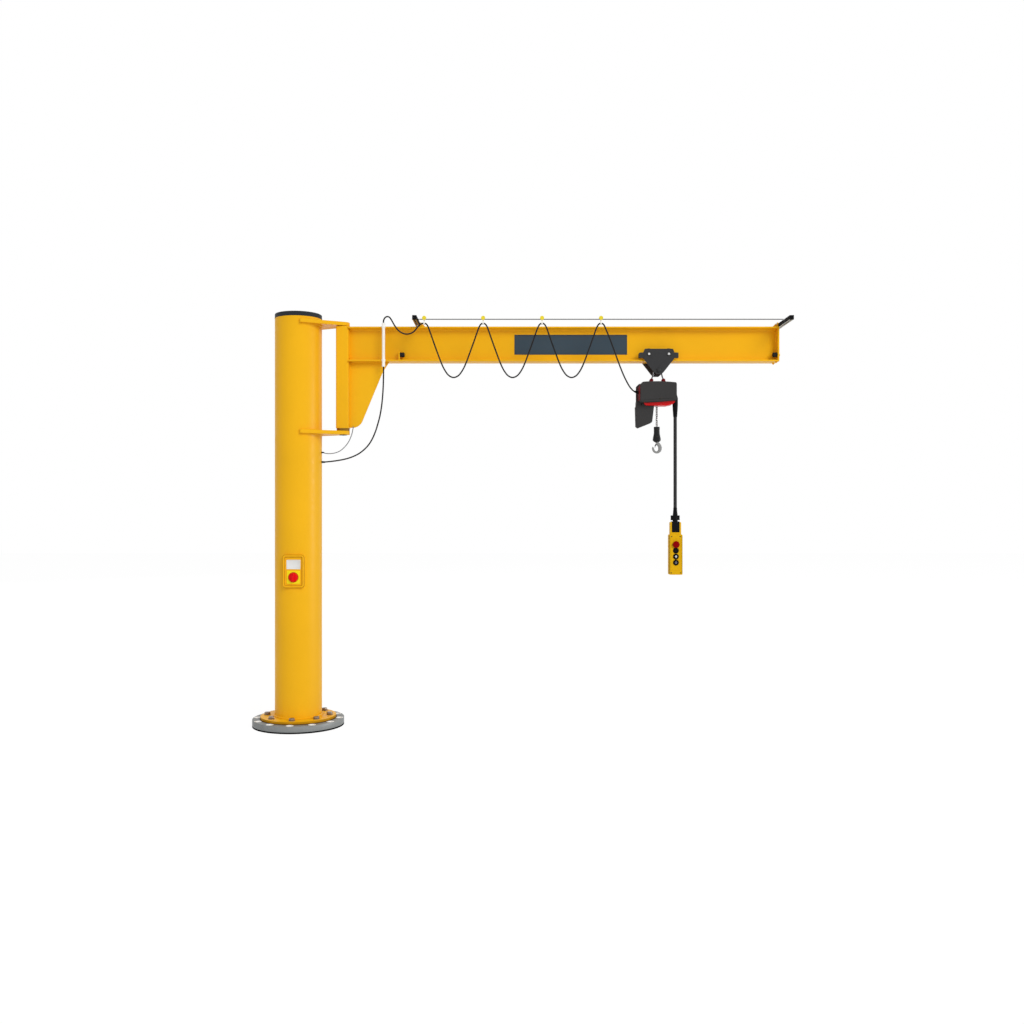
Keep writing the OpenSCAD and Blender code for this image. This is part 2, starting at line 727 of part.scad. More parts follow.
module trolley_plates() color(dark_grey) for (s = [BEHIND, FRONT]) difference() {
    union() {
        along_y(s > 0 ? side_y : -side_y - side_t, side_t) translate([trolley_x, axle_z]) side_outline();
        for (e = [-1, 1]) translate([
            trolley_x + e * (ear_half - tab_t / 2) - tab_t / 2, s > 0 ? tab_y : -side_y - eps, axle_z - 24
        ]) cube([tab_t, side_y - tab_y + eps, 30]);
    }
    for (e = [-1, 1]) rod_y(trolley_x + e * axle_pitch / 2, -side_y * 2, axle_z, axle_d + fit, side_y * 4);
    rod_y(trolley_x, -side_y * 2, cross_bolt_z, cross_bolt_d + fit, side_y * 4);
}

wheel_inner_y = 40;
wheel_flange_y = beam_b / 2 + 3;
wheel_outer_y = side_y - 2;
wheel_lift = 0.3;

module trolley_axles() color(steel) {
    for (e = [-1, 1], s = [BEHIND, FRONT]) translate([trolley_x + e * axle_pitch / 2, 0, axle_z])
        scale([1, s, 1]) {
            rod_y(0, wheel_inner_y - 6, 0, axle_d, side_y + side_t - wheel_inner_y + 6);
            rod_y(0, side_y + side_t - eps, 0, axle_head_d, 5);
            rod_y(0, wheel_inner_y - 6, 0, axle_head_d, 5);
        }
    rod_y(trolley_x, -side_y - side_t - 1, cross_bolt_z, cross_bolt_d, 2 * (side_y + side_t + 1));
    for (s = [BEHIND, FRONT]) scale([1, s, 1])
        rod_y(trolley_x, side_y + side_t, cross_bolt_z, cross_bolt_d + 8, 7);
}

// Front and rear wheel on one axle line
module wheel_pair(x) color(black) translate([x, 0, axle_z]) for (s = [BEHIND, FRONT]) scale([1, s, 1])
    difference() {
        union() {
            rod_y(0, wheel_inner_y, 0, wheel_d - 2 * wheel_lift, wheel_outer_y - wheel_inner_y);
            rod_y(0, wheel_flange_y, 0, wheel_flange_d, wheel_outer_y - wheel_flange_y);
        }
        rod_y(0, 0, 0, axle_d + 2 * run, side_y);
    }

module left_wheels() wheel_pair(trolley_x - axle_pitch / 2);
module right_wheels() wheel_pair(trolley_x + axle_pitch / 2);

// Rod that hangs over the cross bolt, with its splayed legs pinned between the hoist's lugs
bail_arch_r = bail_w / 2 - 10;
bail_arch_z = cross_bolt_z + (cross_bolt_d + bail_d) / 2 + fit - bail_arch_r;
bail_pin = [bail_w / 2 + 2, hoist_top_z + 12];
bail_pin_d = 8;
bail_route = concat(
    [[-bail_pin[0] - 1, 0, bail_pin[1] - 4], [1 - bail_pin[0], 0, bail_pin[1] + 6],
        [-bail_arch_r - 3, 0, bail_arch_z - 16]],
    [for (a = [180:-22.5:0]) [bail_arch_r * cos(a), 0, bail_arch_z + bail_arch_r * sin(a)]],
    [[bail_arch_r + 3, 0, bail_arch_z - 16], [bail_pin[0] - 1, 0, bail_pin[1] + 6],
        [bail_pin[0] + 1, 0, bail_pin[1] - 4]]
);

module hoist_bail() color(steel) translate([trolley_x, 0, 0]) {
    sweep(bail_route, bail_d, 12);
    for (s = [-1, 1]) rod_y(s * bail_pin[0], -15, bail_pin[1], bail_pin_d, 30);
}

// ---------------------------------------------------------------- hoist

hoist_x = hoist_left_x + hoist_w / 2;
body_r = 8;
body_z = hoist_z + 4;
body_right_x = hoist_left_x + hoist_w - 6;
belly_z = hoist_z - 27;
lug_t = 6;
lug_gap = bail_d / 2 + 1;

// Side view of a cover: a crowned top, and a lower edge that rises to the right
module cover_outline() polygon(rounded(
    [
        [hoist_left_x, hoist_z - 8], [hoist_x, hoist_z - 1], [hoist_left_x + hoist_w, hoist_z + 10],
        [hoist_left_x + hoist_w - 2, hoist_top_z - 10], [hoist_x, hoist_top_z - 1],
        [hoist_left_x + 24, hoist_top_z - 6], [hoist_left_x, hoist_top_z - 30]
    ],
    [cover_r, 0, cover_r, cover_r, 0, 6, 6]
));

// Lug that holds one leg of the suspension rod on its pin
module lug(s) translate([trolley_x, 0, 0]) difference() {
    for (y = [lug_gap, -lug_gap - lug_t]) along_y(y, lug_t) polygon(rounded(
        [[s * 30, hoist_top_z - 12], [s * 62, hoist_top_z - 12], [s * 50, hoist_top_z + 24],
            [s * 34, hoist_top_z + 24]],
        [0, 0, 7, 7]
    ));
    rod_y(s * bail_pin[0], -20, bail_pin[1], bail_pin_d + 2 * run, 40);
}

module hoist_body() color(signal_red) {
    difference() {
        along_y(-hoist_depth / 2, hoist_depth) polygon(rounded(
            [
                [hoist_left_x, body_z], [hoist_x - 98, body_z], [hoist_x - 92, belly_z + 9],
                [hoist_x - 78, belly_z], [hoist_x + 66, belly_z], [hoist_x + 104, belly_z + 8],
                [body_right_x, belly_z + 22], [body_right_x, hoist_top_z - 10],
                [hoist_left_x + 24, hoist_top_z - 10], [hoist_left_x, hoist_top_z - 36]
            ],
            [body_r, 0, body_r, 20, 30, 20, body_r, body_r, body_r, body_r]
        ));
        translate([chain_x, 0, hoist_z - 40])
            cylinder(d = chain_bore_d, h = chain_bore_top_z - hoist_z + 40);
        translate([pendant_x, 0, hoist_z - 40])
            cylinder(r = boot_r + fit, h = boot_top_z - hoist_z + 40);
    }
    for (s = [-1, 1]) lug(s);
}

module hoist_covers() color(dark_grey) {
    along_y(hoist_depth / 2, cover_depth) cover_outline();
    along_y(-hoist_depth / 2 - cover_depth, cover_depth) cover_outline();
}

module chain_container() color(dark_grey) difference() {
    translate([0, 40, 0]) along_y(-80, 80) polygon(rounded(
        [[2357, 2222], [2361, 2085], [2375, 2074], [2470, 2112], [2484, 2228], [2400, 2228],
            [2400, body_z], [2362, body_z], [2362, 2226]],
        [0, 8, 8, 14, 0, 0, 0, 6, 0]
    ));
    translate([2366, -32, 2120]) cube([104, 64, 120]);
}

module spare_chain() color(steel) translate([2367, -31, 2121]) cube([102, 62, 40]);

// ---------------------------------------------------------------- load chain and hook

module chain_link() {
    arc = chain_w / 2 - chain_d / 2;
    straight = chain_pitch + 2 * chain_d + link_slack - chain_w;
    for (s = [0, 1]) translate([0, 0, (s == 0 ? 1 : -1) * straight / 2]) rotate([90, s * 180, 0])
        rotate_extrude(angle = 180) translate([arc, 0]) circle(d = chain_d, $fn = 16);
    for (x = [-arc, arc]) translate([x, 0, -straight / 2 - eps])
        cylinder(d = chain_d, h = straight + 2 * eps, $fn = 16);
}

module load_chain() color(steel) for (i = [0:chain_links - 1])
    translate([chain_x, 0, chain_bottom_z + 6 + (i + 0.5) * chain_pitch]) rotate(45 + 90 * i) chain_link();

module hook_block() color(black) translate([chain_x, 0, block_top_z - block_h]) difference() {
    rotate_extrude() polygon([
        [0, 0], [14, 0], [20, 6], [block_d / 2, 20], [block_d / 2, 28], [20, 48], [19, block_h - 30],
        [21.5, block_h - 14], [20, block_h], [0, block_h]
    ]);
    translate([0, 0, block_h - 12]) cylinder(d = chain_w + 6, h = 20);
    translate([0, 0, -1]) cylinder(r = shank_d / 2 + run, h = 31);
}

hook_z = block_top_z - block_h - 46;
bowl_r = hook_r + hook_d / 2;
point_a = 165;
neck_a = 65;
neck_r = bowl_r * cos(neck_a) / (1 - cos(neck_a));
neck_z = (bowl_r + neck_r) * sin(neck_a);
shank_top_z = 74;
latch_pivot = [-1, 33];
latch_pin_d = 5;
latch_y = hook_d / 2 + 0.5;

// Points of the hook's centre line with the hook's thickness there, from its point round the
// bowl and back over its neck to the shank, which stands over the bowl's centre
bowl_steps = 20;
neck_steps = 4;
function on_circle(x, z, r, a) = [x + r * cos(a), 0, z + r * sin(a)];
hook_route = concat(
    [[on_circle(0, 0, bowl_r - 2.4, point_a - 26), 6], [on_circle(0, 0, bowl_r - 1, point_a - 16), 11]],
    [for (i = [0:bowl_steps]) let(a = point_a + i * (360 - point_a + neck_a) / bowl_steps)
        [on_circle(0, 0, bowl_r, a), hook_d - (i == 0 ? 3 : i == 1 ? 1 : 0)]],
    [for (i = [1:neck_steps])
        [on_circle(neck_r, neck_z, neck_r, 180 + neck_a * (1 - i / neck_steps)), hook_d]],
    [[[0, 0, neck_z + 8], shank_d - 2]]
);

module load_hook() color(steel) translate([chain_x, 0, hook_z]) difference() {
    union() {
        sweep([for (p = hook_route) p[0]], [for (p = hook_route) p[1]], 12);
        translate([0, 0, neck_z + 1]) cylinder(d = shank_d, h = shank_top_z - neck_z - 1);
    }
    rod_y(latch_pivot[0], -hook_d, latch_pivot[1], latch_pin_d + 2 * run, 2 * hook_d);
}

// Sheet latch with a cheek on each side of the neck, closed against the hook's point
module hook_latch() color(anthracite) translate([chain_x, 0, hook_z]) {
    for (y = [-latch_y, latch_y + 1.5]) translate([0, y, 0]) rotate([90, 0, 0])
        belt(latch_pivot, 5, [-10.5, 20], 3, 1.5);
    translate([0, latch_y + 1.5, 0]) rotate([90, 0, 0])
        belt([-10.8, 19.8], 1.2, [-12.4, 9], 1.2, 2 * latch_y + 3);
    rod_y(latch_pivot[0], -latch_y - 1.5, latch_pivot[1], latch_pin_d, 2 * latch_y + 3);
}

// ---------------------------------------------------------------- pendant control

boot_z = 2153;
boot_r = 19;
boot_top_z = 2323;
gland_top_z = 1518;
neck_top_z = 1418;
pendant_face_y = -pendant_depth / 2;
button_travel = 5;
button_stem = 12;
button_depth = button_stem + button_travel + 3;

function button_z(i) = pendant_top_z - 70 - i * button_pitch;
function button_bore(i) = (i == 0 ? estop_d - 12 : button_d) + 2;

module pendant_boot() color(black) translate([pendant_x, 0, 0]) rotate_extrude() polygon([
    [0, boot_z], [14, boot_z], [boot_r, boot_z + 85], [boot_r, boot_z + 130], [9, boot_top_z],
    [0, boot_top_z]
]);

module pendant_cable() color(dark_grey)
    sweep([for (i = [0:12]) [pendant_x, 0, boot_z - (boot_z - gland_top_z) * i / 12]], pendant_cable_d, 12);

module pendant_gland() color(black) translate([pendant_x, 0, 0]) {
    rotate_extrude() polygon([
        [0, neck_top_z], [18, neck_top_z], [17, 1470], [13, gland_top_z], [0, gland_top_z]
    ]);
    for (s = [-1, 1]) translate([s * 24, 0, 1430]) cylinder(d = 16, h = 34, $fn = 24);
}

module pendant_box() color(pendant_yellow) difference() {
    union() {
        along_y(-pendant_depth / 2, pendant_depth) translate([pendant_x, pendant_top_z - pendant_h / 2])
            round_rect(pendant_w, pendant_h, 8);
        along_y(-24, 48) translate([pendant_x, (pendant_top_z + neck_top_z) / 2 - 5])
            round_rect(76, neck_top_z - pendant_top_z + 10 - fit, 8);
    }
    for (i = [0:3]) rod_y(pendant_x, pendant_face_y - 1, button_z(i), button_bore(i), button_depth + 1);
}

// The emergency stop sits on top, with the three push buttons below it
module push_button(i, proud, head_d, head_h) {
    rod_y(pendant_x, pendant_face_y - proud, button_z(i), button_bore(i) - 2, proud + button_stem);
    rod_y(pendant_x, pendant_face_y - proud - head_h, button_z(i), head_d, head_h + eps);
}

module estop_button() color(signal_red) push_button(0, 10, estop_d, 10);
module stop_button() color(black) push_button(1, 7, button_d, 1);
module up_button() color("white") push_button(2, 7, button_d, 1);
module down_button() color(dark_grey) push_button(3, 7, button_d, 1);

floor_pad();
anchor_plate();
base_flange();
flange_bolts();
column_tube();
column_cap();
upper_bracket();
lower_bracket();
lower_bearing();
pivot_pins();
switch_frame();
switch_plate();
switch_knob();
jib_post();
jib_beam();
gusset_plate();
end_plate();
stop_plates();
buffers();
conduit_tube();
left_arm();
right_arm();
tension_wire();
supply_cable();
earth_cable();
riser_cable();
glider_1();
glider_2();
glider_3();
glider_4();
festoon_loop_1();
festoon_loop_2();
festoon_loop_3();
hoist_cable();
trolley_plates();
trolley_axles();
left_wheels();
right_wheels();
hoist_bail();
hoist_body();
hoist_covers();
chain_container();
spare_chain();
pendant_boot();
pendant_cable();
pendant_gland();
pendant_box();
estop_button();
stop_button();
up_button();
down_button();
load_chain();
hook_block();
load_hook();
hook_latch();
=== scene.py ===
"""Dressed model of a floor-mounted jib crane with a push trolley, chain hoist and pendant.

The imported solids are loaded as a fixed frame. Each sub-assembly is a class that keeps its
sizes as fields, models its pieces on the bench and takes its finishes from the paint shop.
"""

import json
import logging
import math
import random
from contextlib import contextmanager
from dataclasses import dataclass
from enum import Enum
from typing import Callable, Iterator, Sequence, Union

import bpy
from mathutils import Matrix, Vector

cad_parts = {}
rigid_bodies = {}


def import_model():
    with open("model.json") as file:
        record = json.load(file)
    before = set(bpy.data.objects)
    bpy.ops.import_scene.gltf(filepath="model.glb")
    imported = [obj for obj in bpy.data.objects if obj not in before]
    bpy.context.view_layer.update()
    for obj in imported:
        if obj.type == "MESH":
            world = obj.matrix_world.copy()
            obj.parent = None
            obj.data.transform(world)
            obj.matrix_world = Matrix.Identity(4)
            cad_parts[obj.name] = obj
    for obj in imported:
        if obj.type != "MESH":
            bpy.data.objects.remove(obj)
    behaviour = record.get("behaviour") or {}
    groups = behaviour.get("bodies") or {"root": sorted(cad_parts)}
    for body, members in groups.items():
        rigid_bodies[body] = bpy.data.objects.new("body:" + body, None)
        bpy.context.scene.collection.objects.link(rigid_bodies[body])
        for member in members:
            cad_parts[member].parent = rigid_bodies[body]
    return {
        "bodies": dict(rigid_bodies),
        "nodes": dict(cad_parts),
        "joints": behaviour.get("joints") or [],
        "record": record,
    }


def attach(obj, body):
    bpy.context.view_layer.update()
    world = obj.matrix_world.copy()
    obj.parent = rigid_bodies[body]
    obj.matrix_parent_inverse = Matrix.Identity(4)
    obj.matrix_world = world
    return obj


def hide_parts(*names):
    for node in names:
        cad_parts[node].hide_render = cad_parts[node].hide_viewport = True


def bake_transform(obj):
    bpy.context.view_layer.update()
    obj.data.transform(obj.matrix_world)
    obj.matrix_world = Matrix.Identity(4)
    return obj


LOG = logging.getLogger("jib_crane")
Point = tuple[float, float, float]
Flat = tuple[float, float]
Colour = tuple[int, int, int]
Piece = bpy.types.Object
FULL_TURN = 2 * math.pi
SMOOTH_ANGLE = math.radians(36)
FLAT_ANGLE = math.radians(0.4)
FACET_GAP = 0.00002
FACING = 0.9
CHAIN_X = 2.507
CHAIN_PITCH = 0.0151
GLIDER_X, GLIDER_PITCH = 0.898, 0.4
WIRE_Y, CLIP_Z = -0.22, 2.767


# ---------------------------------------------------------------- finishes


@dataclass(frozen=True)
class Grain:
    """Fine texture of a surface: its size and height in metres, and how far it is drawn out."""

    size: float
    relief: float
    detail: float
    stretch: Point = (1.0, 1.0, 1.0)


class Surface(Enum):
    """The kinds of surface on the crane, each with its own grain."""

    POWDER_COAT = Grain(0.0030, 0.00010, 2.0)
    BRUSH_PAINT = Grain(0.0040, 0.00012, 4.0, (0.25, 1.0, 1.0))
    PLATED = Grain(0.0016, 0.00004, 5.0)
    FORGED = Grain(0.0060, 0.00050, 6.0)
    MOULDED = Grain(0.0012, 0.00008, 3.0)
    RUBBER = Grain(0.0022, 0.00018, 5.0)
    SHEATH = Grain(0.0018, 0.00006, 2.0, (1.0, 1.0, 0.3))
    STRAND = Grain(0.0050, 0.00045, 0.0)


@dataclass(frozen=True)
class Finish:
    """A named finish: its colour, its surface, its gloss, and how it has aged."""

    name: str
    colour: Colour
    slot: str
    surface: Surface
    roughness: float
    metallic: float = 0.0
    specular: float = 0.12
    mottle: float = 0.05
    wear: float = 0.0
    worn: Colour = (120, 112, 100)


YELLOW = Finish("yellow_powder_coat", (245, 183, 20), "yellow_paint", Surface.POWDER_COAT,
                0.4, specular=0.16, mottle=0.025, wear=0.04, worn=(215, 155, 20))
# Darker copy of the yellow paint: painted shade on the flange's rim and along the switch frame.
YELLOW_SHADE = Finish("yellow_painted_shade", (196, 138, 16), "yellow_paint", Surface.POWDER_COAT,
                      0.5, specular=0.05, mottle=0.05)
# Dark brown: painted shadow in the gap under the flange's edge.
FLANGE_SHADOW = Finish("flange_painted_shadow", (96, 66, 14), "dark_paint", Surface.RUBBER, 0.7,
                 specular=0.02)
CAP_BLACK = Finish("cap_plastic", (42, 47, 52), "cap_plastic", Surface.MOULDED, 0.5)
PLATE_GREY = Finish("anchor_plate_paint", (140, 143, 143), "grey_paint", Surface.BRUSH_PAINT,
                    0.48, metallic=0.2, mottle=0.09, wear=0.2, worn=(116, 118, 116))
HOLE_LINER = Finish("anchor_hole_zinc", (250, 250, 248), "bright_steel", Surface.PLATED, 0.4,
                    mottle=0.01)
PAD_BLACK = Finish("pad_rubber", (13, 13, 15), "black_rubber", Surface.RUBBER, 0.85,
                   specular=0.02)
BUFFER_BLACK = Finish("buffer_rubber", (38, 37, 35), "black_rubber", Surface.RUBBER, 0.75)
BOLT_STEEL = Finish("bolt_steel", (146, 132, 120), "bright_steel", Surface.PLATED, 0.4,
                    metallic=0.9, mottle=0.14, wear=0.3, worn=(104, 92, 80))
ZINC = Finish("zinc_plate", (190, 190, 188), "bright_steel", Surface.PLATED, 0.32,
              metallic=1.0, mottle=0.08, wear=0.2, worn=(150, 150, 146))
AXLE_BRIGHT = Finish("axle_cap_steel", (214, 214, 214), "bright_steel", Surface.PLATED, 0.3,
                     metallic=0.6, mottle=0.03)
BAIL_STEEL = Finish("bail_steel", (98, 98, 101), "bright_steel", Surface.PLATED, 0.4,
                    metallic=1.0, mottle=0.1)
CHAIN_STEEL = Finish("chain_steel", (138, 134, 133), "bright_steel", Surface.PLATED, 0.34,
                     metallic=1.0, mottle=0.12)
DARK_STEEL = Finish("dark_screw", (58, 54, 48), "dark_paint", Surface.PLATED, 0.4,
                    metallic=0.6)
WIRE_STEEL = Finish("wire_rope", (24, 25, 27), "bright_steel", Surface.STRAND, 0.46,
                    mottle=0.08)
DARK_COAT = Finish("dark_powder_coat", (57, 57, 58), "dark_paint", Surface.POWDER_COAT, 0.5,
                   specular=0.1, mottle=0.07, wear=0.08, worn=(84, 82, 80))
# Brown: painted shade, the bearing's yellow paint as it looks in shadow.
BEARING_SHADE = Finish("bearing_painted_shade", (150, 112, 44), "dark_paint", Surface.PLATED, 0.45,
                       metallic=0.5, mottle=0.1)
RAIL_BLACK = Finish("rail_black", (13, 13, 14), "black_rail", Surface.POWDER_COAT, 0.5,
                    specular=0.02, mottle=0.06, wear=0.04, worn=(40, 40, 40))
# Yellow-brown on the black rail's underside: painted reflection of the yellow jib.
RAIL_UNDER_REFLECTION = Finish("rail_underside_painted_reflection", (150, 112, 52), "bright_steel",
                        Surface.PLATED, 0.5, mottle=0.2)
RAIL_INSIDE = Finish("rail_inside_zinc", (176, 175, 166), "bright_steel", Surface.PLATED, 0.4,
                     metallic=0.3, mottle=0.08)
SLATE = Finish("sign_slate", (62, 76, 87), "dark_paint", Surface.MOULDED, 0.4, mottle=0.03)
LEMON = Finish("roller_plastic", (242, 222, 58), "lemon_plastic", Surface.MOULDED, 0.42)
SWITCH_YELLOW = Finish("switch_plate_plastic", (255, 226, 28), "lemon_plastic",
                       Surface.MOULDED, 0.38)
WHITE_PLASTIC = Finish("white_plastic", (248, 246, 240), "white_plastic", Surface.MOULDED, 0.4)
LABEL_WHITE = Finish("label_foil", (232, 233, 231), "white_plastic", Surface.MOULDED, 0.35,
                     mottle=0.02)
COVER_DARK = Finish("hoist_cover_plastic", (62, 61, 61), "cover_plastic", Surface.MOULDED,
                    0.6, specular=0.02, mottle=0.06, wear=0.06, worn=(74, 74, 74))
RED_CAST = Finish("red_casting_paint", (232, 18, 23), "red_paint", Surface.POWDER_COAT, 0.4,
                  specular=0.2, mottle=0.05)
RED_SHADE = Finish("red_shade_paint", (84, 26, 31), "red_paint", Surface.MOULDED, 0.6,
                   specular=0.02)
# Darker copy of the red casting paint: painted shade on the lugs and the bail pin heads.
RED_LUG_SHADE = Finish("red_lug_painted_shade", (122, 34, 40), "red_paint", Surface.POWDER_COAT, 0.5,
                 specular=0.02, mottle=0.06)
RED_PLASTIC = Finish("signal_red_plastic", (232, 16, 20), "red_plastic", Surface.MOULDED, 0.46,
                     specular=0.12)
RED_DEEP = Finish("deep_red_plastic", (142, 2, 6), "red_plastic", Surface.MOULDED, 0.5,
                  specular=0.04)
# Darker pendant yellow: painted shade on the housing's rounded side edges.
PENDANT_SHADE = Finish("pendant_painted_shade", (150, 118, 24), "pendant_plastic",
                       Surface.MOULDED, 0.5, specular=0.05)
PENDANT_YELLOW = Finish("pendant_plastic", (228, 176, 8), "pendant_plastic", Surface.MOULDED,
                        0.44, mottle=0.04, wear=0.1, worn=(196, 150, 16))
BLACK_PLASTIC = Finish("black_plastic", (20, 20, 22), "black_plastic", Surface.MOULDED, 0.5,
                       specular=0.05)
WHEEL_BLACK = Finish("wheel_polyamide", (34, 34, 36), "black_plastic", Surface.MOULDED, 0.42,
                     wear=0.15, worn=(76, 74, 70))
GREY_PLASTIC = Finish("grey_plastic", (216, 218, 222), "white_plastic", Surface.MOULDED, 0.4)
MID_GREY = Finish("mid_grey_plastic", (118, 118, 128), "white_plastic", Surface.MOULDED, 0.4)
SHEATH_BLACK = Finish("cable_sheath", (34, 34, 35), "cable_sheath", Surface.SHEATH, 0.5)
SHEATH_GREY = Finish("earth_sheath", (122, 126, 130), "earth_sheath", Surface.SHEATH, 0.5)
SHEATH_DARK = Finish("pendant_sheath", (50, 50, 51), "cable_sheath", Surface.SHEATH, 0.55)
HOOK_GREY = Finish("hook_forging", (152, 152, 151), "hook_steel", Surface.FORGED, 0.42,
                   metallic=0.3, mottle=0.1, wear=0.2, worn=(110, 108, 104))
BLOCK_BLACK = Finish("block_paint", (34, 34, 35), "block_paint", Surface.FORGED, 0.42,
                     wear=0.1, worn=(70, 68, 66))
LATCH_DARK = Finish("latch_sheet", (58, 60, 64), "anthracite_paint", Surface.PLATED, 0.4,
                    metallic=0.5)


def linear(colour: Colour) -> tuple[float, float, float, float]:
    """Turns an sRGB colour of three bytes into Blender's linear colour."""
    shares = [c / 255 for c in colour]
    return tuple(s / 12.92 if s <= 0.04045 else ((s + 0.055) / 1.055) ** 2.4
                 for s in shares) + (1.0,)


class Signal:
    """A node's output socket, on which the maths operators wire Math nodes."""

    def __init__(self, wiring: "Wiring", socket: bpy.types.NodeSocket) -> None:
        """Keeps the socket and the wiring that it belongs to."""
        self.wiring = wiring
        self.socket = socket

    def maths(self, operation: str, *terms: Union["Signal", float]) -> "Signal":
        """Wires one Math node that takes this signal first and the terms after it."""
        return self.wiring.node("ShaderNodeMath", dict(enumerate((self, *terms))),
                                operation=operation)

    def __add__(self, other: Union["Signal", float]) -> "Signal":
        """Adds a signal or a number."""
        return self.maths("ADD", other)

    def __sub__(self, other: Union["Signal", float]) -> "Signal":
        """Takes away a signal or a number."""
        return self.maths("SUBTRACT", other)

    def __rsub__(self, other: float) -> "Signal":
        """Is taken away from a number, so that 1 - mask inverts a mask."""
        return (self * -1.0).maths("ADD", other)

    def __mul__(self, other: Union["Signal", float]) -> "Signal":
        """Multiplies by a signal or a number."""
        return self.maths("MULTIPLY", other)

    def __gt__(self, other: Union["Signal", float]) -> "Signal":
        """Is one where this signal is greater, and nought elsewhere."""
        return self.maths("GREATER_THAN", other)

    __radd__ = __add__
    __rmul__ = __mul__

    def spread(self, low: float, high: float, to_low: float = 0.0,
               to_high: float = 1.0) -> "Signal":
        """Maps low to high onto another range, smoothly and clamped."""
        return self.wiring.node(
            "ShaderNodeMapRange", {0: self, 1: low, 2: high, 3: to_low, 4: to_high},
            interpolation_type="SMOOTHSTEP")


class Wiring:
    """The node tree of one material or world, wired node by node."""

    def __init__(self, tree: bpy.types.NodeTree) -> None:
        """Keeps the tree."""
        self.tree = tree

    def node(self, kind: str, inlets: dict | None = None, outlet: Union[int, str] = 0,
             **settings: object) -> Signal:
        """Adds a node of any kind.

        Args:
            kind: the node's type name.
            inlets: input name or number to a signal or a plain value.
            outlet: name or number of the output to return.
            settings: the node's own properties.

        Returns:
            The chosen output as a signal.
        """
        made = self.tree.nodes.new(kind)
        for name, value in settings.items():
            setattr(made, name, value)
        for name, value in (inlets or {}).items():
            self.feed(made.inputs[name], value)
        return Signal(self, made.outputs[outlet])

    def mixed(self, share: Signal, first: object, second: object) -> Signal:
        """Mixes two colours, each a signal or a plain colour, by a share of the second."""
        return self.node("ShaderNodeMix", {"Factor": share, 6: first, 7: second}, outlet=2,
                         data_type="RGBA")

    def feed(self, inlet: bpy.types.NodeSocket, value: object) -> None:
        """Links a signal to an input, or sets a plain value on it."""
        if isinstance(value, Signal):
            self.tree.links.new(value.socket, inlet)
        else:
            inlet.default_value = value


